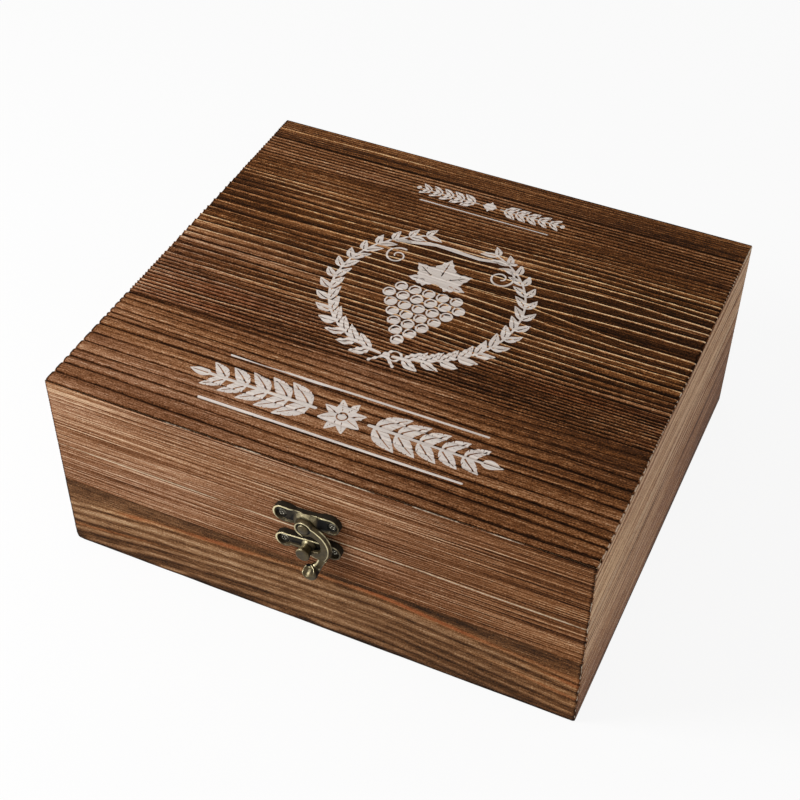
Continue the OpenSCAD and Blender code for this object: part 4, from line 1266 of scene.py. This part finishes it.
def latch_field(x, y, z):
    """The lid's plate: rims round its two lobes, and a raised middle with the hole for the rivet."""
    flat = latch_flat(x, y)
    lobe = ramp(np.abs(x), 4.9, 7.4)
    height = FLOOR + (rim_height(-flat) - FLOOR) * lobe + 0.35 * (1 - lobe) * fall(-flat, 0.3, 1.6)
    height = np.maximum(height, 3.4 - 1.35 * ramp(np.hypot(x, y), 4.85, 6.6) ** 0.7)
    body = plate(flat, height, z, both(x, y, LATCH_SCREW, 2.3))
    return np.maximum(body, -disc(x, y, (0, 0), HOLE_R) + 0 * z)


def catch_field(x, y, z):
    """The base's plate, with a rim all round."""
    flat = catch_flat(x, y)
    return plate(flat, rim_height(-flat), z, both(x, y, CATCH_SCREW, 2.25))


def rim_look(flat_of, screw, saddle):
    """Where a plate is rubbed bright along its rim, with a painted highlight on edges facing up and left
    and on its saddle's upper part and painted shade toward its right, and black in its floor and round its
    screws, with a painted shadow of the hook in the right lobe of the lid's plate.
    """

    def look(x, y, z, out):
        edge = -flat_of(x, y)
        across = flat_of(x + 0.3, y) - flat_of(x - 0.3, y)
        up = flat_of(x, y + 0.3) - flat_of(x, y - 0.3)
        # How much each edge faces up and to the left, for a painted highlight.
        lit = np.clip(0.5 + (0.42 * up - 0.4 * across) / (np.hypot(across, up) + 1e-6), 0.1, 1)
        top = ramp(out[:, 2], 0.2, 0.7)
        arm = fall(np.abs(x), 4.2, 7.0) if saddle else 0.0
        # Painted highlight and shade: the rim is brighter where it faces up and left and dims toward the
        # right, and the saddle's upper part is lit.
        wear_and_highlight = 1.05 * bump(edge - 0.42, 0.52) * top * lit * (1 - arm) * (1 - 0.4 * ramp(x, 3, 13))
        wear_and_highlight = np.maximum(wear_and_highlight, 0.33 * arm * ramp(y, 1.2, 4.2) * top) if saddle else wear_and_highlight
        deep = 0.62 * ramp(edge, 0.85, 1.3) * top * (1 - arm) + (both(x, y, screw, 2.4) < 0) * top
        # Painted shadow of the hook and boss in the right lobe, which also takes the rim's highlight away
        # there.
        painted_hook_shadow = unit(1.3 - np.hypot((x - 7.2) / 2.7, (y - 1.6) / 2.6)) if saddle else 0.0
        return wear_and_highlight * (1 - painted_hook_shadow), deep + painted_hook_shadow

    return look


# The hook, drawn from its rivet down: the centre of its bow, its thumb tab and the notch beside that.
BOW, BOW_R, EYE_R = (1.1, -8.6), 10.9, 4.3
TAB, NOTCH = (3.0, -23.4), (1.5, -20.6)
HOOK_LOW, HOOK_TOP, TAB_H = 3.6, 5.3, 4.8
HOOK_TAIL = [(7.6, -19.8), (6.6, -22.8), (4.0, -23.2), (2.8, -20.9),
             (4.6, -18.8), (5.7, -15.8), (4.3, -15.7)]


def arc_of(centre, r, first, last):
    """Points along an arc, from one angle to another."""
    count = max(2, int(abs(last - first) / 4)) + 1
    return [round_at(centre, r, angle) for angle in np.linspace(first, last, count)]


def hook_shape(x, y):
    """The hook's outline, how far in from its lip's outer edge each place is, and what lies outward."""
    line = arc_of(BOW, BOW_R, 95, -38) + HOOK_TAIL
    line += arc_of((0.3, -12.9), 2.6, -52, 12) + arc_of((2.4, -8.4), 4.8, -42, 100)
    r = np.hypot(x, y)
    flat = melt(outlined(x, y, line), disc(x, y, (0, 0), EYE_R), 0.5)
    outward = ramp(x + 0.25 * y, -2.0, 0.5)
    outer, eye = BOW_R - np.hypot(x - BOW[0], y - BOW[1]), EYE_R - r
    lip = np.where(r < 4.4, toward(eye, np.maximum(eye, outer), outward), outer + 9 * (outward < 0.5))
    lip = lip + 9 * ramp(-y, 14.5, 17.0) + 0.35 * fall(r, 4.0, 7.0)
    return flat, np.maximum(lip, 0), outward


def hook_field(x, y, z):
    """The hook: a flat bow with a lip along its outer edge, and a scooped tab for the thumb."""
    flat, lip, _ = (a[..., None] for a in hook_shape(x[..., 0], y[..., 0]))
    height = HOOK_TOP + 0.62 * bump(lip - 1.0, 0.5) - 1.2 * fall(lip, 0.0, 0.95)
    height = height - 0.3 * fall(-flat, 0.0, 0.6) * (lip > 1.0)
    height = height + 0.1 * bump(lip - 3.0, 1.0) - 0.25 * bump(np.hypot(x, y) - 2.7, 0.45)
    body = carve(flat + 0 * z, (height - z) * 0.8, 0.3)
    body = carve(body, z - HOOK_LOW - 0.02, 0.2)
    rise = unit((z - HOOK_LOW) / TAB_H)
    tab = raised(disc(x, y, TAB, 3.15 + 0.35 * rise), z, HOOK_LOW, HOOK_LOW + TAB_H, 1.1)
    scoop = np.sqrt((x - TAB[0] + 1.2) ** 2 + (y - TAB[1] - 2.1) ** 2 + (z - 8.9) ** 2) - 3.3
    body = carve(melt(body, carve(tab, scoop, 0.5), 0.9), disc(x, y, NOTCH, 1.15) + 0 * z, 0.5)
    return np.maximum(body, -disc(x, y, (0, 0), HOLE_R + 0.05) + 0 * z)


def hook_look(x, y, z, out):
    """Where the hook is rubbed bright, where its tab takes a painted highlight toward the upper left, and
    where it stays black, with painted shade on its tab's far side and in its notch.
    """
    flat, lip, outward = hook_shape(x, y)
    r = np.hypot(x, y)
    top = ramp(out[:, 2], 0.2, 0.65)
    arm = top * (z < HOOK_TOP + 0.8)
    rim = 0.75 * outward * bump(-flat - 0.12, 0.26) * ramp(r, 4.2, 7.0)
    wear_and_highlight = arm * (1.1 * bump(lip - 1.0, 0.42) + rim)
    wear_and_highlight = wear_and_highlight * np.clip(0.75 + 0.05 * (x - y * 0.3), 0.6, 1) * (1 - 0.6 * ramp(-y, 3, 12))
    deep = arm * (0.75 * bump(lip - 0.5, 0.2) * outward + 0.95 * bump(r - 2.75, 0.45))
    neck = bump(-flat - 0.4, 0.5) * (y < -14.5) * (y > -21.5) * (x < 6.6) * top
    # How much each face turns toward the key light at the upper left, for painted highlight and shade.
    toward_key_light = out @ np.array([-0.45, 0.65, 0.6])
    in_tab = ramp(-disc(x, y, TAB, 3.7), -0.3, 0.3) * (z > HOOK_TOP)
    # Painted highlight on the tab's upper left.
    lit = np.clip((toward_key_light - 0.7) * 2.0, 0, 0.75) * fall(x - TAB[0] - 0.4 * (y - TAB[1]), -1.2, 1.2)
    wear_and_highlight = np.maximum(wear_and_highlight, np.maximum(0.95 * neck, in_tab * lit))
    # Painted shade on the tab's far side, and a painted shadow in the notch.
    shade = in_tab * np.clip((0.42 - toward_key_light) * 1.3, 0, 0.9)
    shade = shade + (disc(x, y, NOTCH, 1.5) < 0) * (1 - in_tab * top)
    return wear_and_highlight * (1 - 0.8 * unit(shade)), deep + shade


# The post and the rivet, turned pieces given by the (radius, height) points of their half outlines.
POST = [(1.45, -4.0), (1.45, 1.8), (3.3, 1.82), (3.3, 2.1), (2.85, 2.8), (2.5, 3.5), (2.48, 5.75),
        (2.82, 6.0), (2.95, 6.6), (3.1, 7.3), (3.12, 7.7), (2.96, 8.0), (2.6, 8.14), (1.2, 8.12),
        (0.5, 8.1)]
RIVET = [(1.45, -2.0), (1.45, 5.2), (2.3, 5.25), (2.42, 5.4), (2.4, 5.75), (2.2, 6.0), (1.8, 6.16),
         (1.0, 6.25), (0.5, 6.27)]


def turned_field(profile):
    """A piece turned round the z axis."""
    whole = profile + [(-r, h) for r, h in reversed(profile)]
    return lambda x, y, z: outlined(np.hypot(x, y) + 0 * z, z + 0 * x + 0 * y, whole)


def turned_look(x, y, z, out):
    """A painted highlight on faces toward the upper left, and painted shade on faces turned away from it.
    """
    toward_key_light = out @ np.array([-0.55, 0.8, 0.25])
    return np.clip((toward_key_light - 0.55) * 1.3, 0, 0.5), np.clip((0.1 - toward_key_light) * 0.9, 0, 0.8)


# The screws: the head's radius and height, half the slots' length and width and how high their floor
# is, and the thread's pitch, core radius, depth and end.
HEAD_R, HEAD_H, SLOT, SLOT_FLOOR = 1.95, 0.85, (1.45, 0.33), 0.22
THREAD_PITCH, CORE_R, TOOTH, THREAD_END = 0.95, 0.72, 0.34, -6.5


def screw_field(turn):
    """A round-headed cross-slot screw, its head on z = 0 and its thread going down."""

    def field(x, y, z):
        r = np.hypot(x, y)
        head = np.sqrt((r / HEAD_R) ** 2 + (np.maximum(z, 0) / HEAD_H) ** 2 + 1e-9) - 1
        head = np.maximum(head * 0.9, np.maximum(-z, r - (HEAD_R - 0.05)))
        u, v = turned(x, y, turn)
        slot = np.minimum(*(slab(u, v, (-a, -b), (a, b), 0.08) for a, b in (SLOT, SLOT[::-1])))
        head = np.maximum(head, -np.maximum(slot, SLOT_FLOOR + 0.25 * r - z))
        swirl = np.arctan2(y, x) / (2 * math.pi) + z / THREAD_PITCH
        tooth = np.abs(swirl - np.floor(swirl) - 0.5) * 2
        size = (CORE_R + TOOTH * tooth**2) * unit((z - THREAD_END) / 1.6) ** 0.6
        shank = np.maximum((r - size) * 0.6, np.maximum(z - 0.1, THREAD_END + 0.1 - z))
        return np.minimum(head, shank)

    return field


def screws(name, body, spots, side=1, tilt=0):
    """One piece of several screws, each given by where its head stands, its height and its turn."""
    parts = []
    for x, y, height, turn in spots:
        points, *rest = cast(screw_field(turn), (-2.5, -2.5, -6.8), (2.5, 2.5, 1.3), FINEST_STEP)
        parts.append((placed(points + np.array([0, 0, height]), (x, y), tilt, side), *rest))
    metal_piece(name, body, SCREW_METAL, parts)


def on_plate(screw, origin, tilt, turns):
    """Where a plate's two screws stand on the front."""
    spots = []
    for side, turn in zip((-1, 1), turns):
        x, y = turned(side * screw[0], screw[1], -tilt)
        spots.append((origin[0] + x, origin[1] + y, FLOOR - WELL, turn))
    return spots


# The hinges, drawn as leaves below the pin's axis: a leaf's size and corners, how high the axis is
# above the wall, the pin and the knuckles round it, and the outer screw of each leaf.
LEAF_W, LEAF_H, LEAF_T = 30, 13, 1.0
LEAF_LOW, LEAF_HIGH, LEAF_ROUND = (-LEAF_W / 2, -LEAF_H), (LEAF_W / 2, 4), 2.0
PIN_Z, PIN_R, BORE_R, KNUCKLE_R, KNUCKLES = 2.2, 0.88, 0.97, 2.0, 5
LEAF_SCREW = (10.5, -8.5)
STOP_ANGLE = math.radians(105)
HINGES = {"left": (-75, SAW), "right": (75, SAW)}


def past_knuckles(x, first, extra):
    """How far x is past the ends of every other knuckle from the first one on."""
    pitch = LEAF_W / KNUCKLES
    middles = [-LEAF_W / 2 + pitch * (k + 0.5) for k in range(first, KNUCKLES, 2)]
    return np.min([np.abs(x - m) for m in middles], axis=0) - (pitch - 0.2) / 2 - extra


def leaf_field(first):
    """A leaf with every other knuckle from the first one on. The lid's leaf also has stop lugs on them."""

    def field(x, y, z):
        r = np.hypot(y, z - PIN_Z)
        leaf = raised(np.maximum(slab(x, y, LEAF_LOW, LEAF_HIGH, LEAF_ROUND), y), z, 0.0, LEAF_T, 0.22)
        leaf = np.maximum(leaf, -np.maximum(r - PIN_Z - 0.2, past_knuckles(x, 1 - first, 0.2)))
        body = np.minimum(leaf, carve(r - KNUCKLE_R, -past_knuckles(x, first, 0), 0.1))
        if first:
            along = y * math.cos(STOP_ANGLE) + (z - PIN_Z) * math.sin(STOP_ANGLE)
            up = -y * math.sin(STOP_ANGLE) + (z - PIN_Z) * math.cos(STOP_ANGLE)
            lug_low = LEAF_T + 0.05 - PIN_Z
            lug = slab(along, up, (0, lug_low), (KNUCKLE_R + 1.8, LEAF_T + 1.15 - PIN_Z), 0.12)
            body = np.minimum(body, np.maximum(lug, past_knuckles(x, first, -0.4)))
        body = np.maximum(body, BORE_R - r)
        return np.maximum(body, -both(x, y, LEAF_SCREW, 1.3) + 0 * z)

    return field


def pin_field(x, y, z):
    """A hinge's pin, with its ends rounded."""
    return raised(np.hypot(y, z - PIN_Z) - PIN_R, x, -LEAF_W / 2, LEAF_W / 2, 0.3)


def leaf_look(x, y, z, out):
    """Where a leaf is rubbed, along its edge and its knuckles, and where it stays dark."""
    top = ramp(out[:, 2], 0.3, 0.8)
    face = top * (z < LEAF_T + 0.2)
    edge = slab(x, y, LEAF_LOW, LEAF_HIGH, LEAF_ROUND)
    wear_and_highlight = 0.7 * bump(edge + 0.3, 0.4) * face + 0.6 * (z > PIN_Z + 1.2) * top
    deep = 0.9 * (both(x, y, LEAF_SCREW, 2.35) < 0) + 0.7 * bump(y + 2.2, 0.5) * face
    return wear_and_highlight, deep


latch, catch = (LATCH_AT, LATCH_TILT), (CATCH_AT, CATCH_TILT)
formed("latch_plate", "lid", latch_field, (-15.6, -3.2, -0.6), (15.6, 7.8, 3.9), STEP, *latch,
       rim_look(latch_flat, LATCH_SCREW, True))
formed("catch_plate", "base", catch_field, (-15.6, -5.0, -0.6), (15.6, 5.0, 3.5), STEP, *catch,
       rim_look(catch_flat, CATCH_SCREW, False))
formed("swing_hook", "hook", hook_field, (-5.0, -27.6, 3.23), (12.8, 5.0, 9.2), STEP, LATCH_AT, 0,
       hook_look)
formed("latch_rivet", "lid", turned_field(RIVET), (-3, -3, -2.4), (3, 3, 7.5), FINEST_STEP, *latch,
       turned_look, rub=0.5)
formed("catch_post", "base", turned_field(POST), (-3.5, -3.5, -4.4), (3.5, 3.5, 8.7), FINE_STEP, *catch,
       turned_look, rub=0.4)
screws("latch_screws", "lid", on_plate(LATCH_SCREW, *latch, (20, 65)), 1, LATCH_TILT)
screws("catch_screws", "base", on_plate(CATCH_SCREW, *catch, (10, 40)), 1, CATCH_TILT)

for end, at in HINGES.items():
    around = (-15.5, -13.5, -0.4), (15.5, 4.0, 6.4), COARSE_STEP, at, 0
    formed(end + "_hinge_base_leaf", "base", leaf_field(0), *around, leaf_look, -1)
    formed(end + "_hinge_lid_leaf", "lid", leaf_field(1), *around, leaf_look, -1, True)
    around = (-15.5, -1.4, 0.9), (15.5, 1.4, 3.5), FINE_STEP, at, 0
    formed(end + "_hinge_pin", "base", pin_field, *around, None, -1)
for body, up in (("base", 1), ("lid", -1)):
    spots = [(x + side * LEAF_SCREW[0], z + up * LEAF_SCREW[1], LEAF_T, 25 + 37 * side + 11 * k)
             for k, (x, z) in enumerate(HINGES.values()) for side in (-1, 1)]
    screws("hinge_%s_screws" % body, body, spots, -1)


# The floor, the light and the camera.
def studio_light():
    """White light from all round, dimmer than the white that the camera sees."""
    world = bpy.data.worlds.new("studio")
    bpy.context.scene.world = world
    n = Nodes(world)
    lit = n.tree.nodes["Background"]
    n.feed(lit, {"Color": (1, 1, 1, 1), "Strength": 0.36})
    n.show_white("Background", lit, 1, "World Output")


def studio_floor(reach=4000.0, steps=24):
    """A wide pale floor in small enough squares."""
    n = Nodes(bpy.data.materials.new("floor"))
    cloud = n.cloud(n.add("TexCoord", {}).outputs["Object"], 3.0, 2.0)
    colour = n.colours(cloud, [(0.3, (240, 240, 240)), (0.7, (246, 246, 246))])
    n.feed(n.shader, {"Base Color": colour, "Roughness": 0.9})
    n.show_white("Emission", n.shader, 0.9, "Material Output")
    x, y = np.meshgrid(np.linspace(-reach, reach, steps), np.linspace(-reach, reach, steps))
    points = np.stack([x, y, 0 * x], -1).reshape(-1, 3)
    faces = quads_of(np.arange(steps * steps).reshape(steps, steps))
    mesh_of("studio_floor", points, faces, [n.owner])


def lamp(name, place, aim, size, power):
    """A round area light at a place, aimed at another."""
    data = bpy.data.lights.new(name, "AREA")
    data.shape, data.size, data.energy = "DISK", size, power
    made = bpy.data.objects.new(name, data)
    made.location = place
    made.rotation_euler = (Vector(aim) - Vector(place)).to_track_quat("-Z", "Y").to_euler()
    bpy.context.scene.collection.objects.link(made)


# The photograph's own camera, found from the corners of the box in it: its angles in degrees, the
# point that it looks at and how far it is from it in metres, and its picture's width, focal length
# and middle in pixels.
AZIMUTH, ELEVATION, ROLL = 23.079, 44.75, 1.4456
AIM, DISTANCE = (0.01465, -0.02855, 0.04862), 0.66664
PICTURE, FOCAL, MIDDLE = 800, 1512.54, (420, 440)


def photo_camera():
    azimuth, elevation, roll = (math.radians(a) for a in (AZIMUTH, ELEVATION, ROLL))
    level = math.cos(elevation)
    back = Vector((math.sin(azimuth) * level, -math.cos(azimuth) * level, math.sin(elevation)))
    right = Vector((math.cos(azimuth), math.sin(azimuth), 0))
    up = back.cross(right)
    right, up = math.cos(roll) * right + math.sin(roll) * up, -math.sin(roll) * right + math.cos(roll) * up
    data = bpy.data.cameras.new("photo_camera")
    data.sensor_fit, data.sensor_width = "HORIZONTAL", 36
    data.lens = FOCAL / PICTURE * data.sensor_width
    data.shift_x, data.shift_y = (PICTURE / 2 - MIDDLE[0]) / PICTURE, (MIDDLE[1] - PICTURE / 2) / PICTURE
    data.clip_start, data.clip_end = 0.01, 20
    made = bpy.data.objects.new("photo_camera", data)
    place = Vector(AIM) + back * DISTANCE
    made.matrix_world = Matrix.Translation(place) @ Matrix((right, up, back)).transposed().to_4x4()
    bpy.context.scene.collection.objects.link(made)
    bpy.context.scene.camera = made


studio_light()
studio_floor()
lamp("key", (-0.62, -0.42, 0.62), (-0.02, 0, 0.05), 0.35, 6.2)
lamp("fill", (0.9, -1.3, 0.8), (0, 0, 0.05), 1.0, 2.4)
lamp("side", (1.5, 0.1, 0.14), (0.1, 0, 0.05), 0.8, 1.3)
photo_camera()
bpy.context.scene.view_settings.view_transform = "Standard"
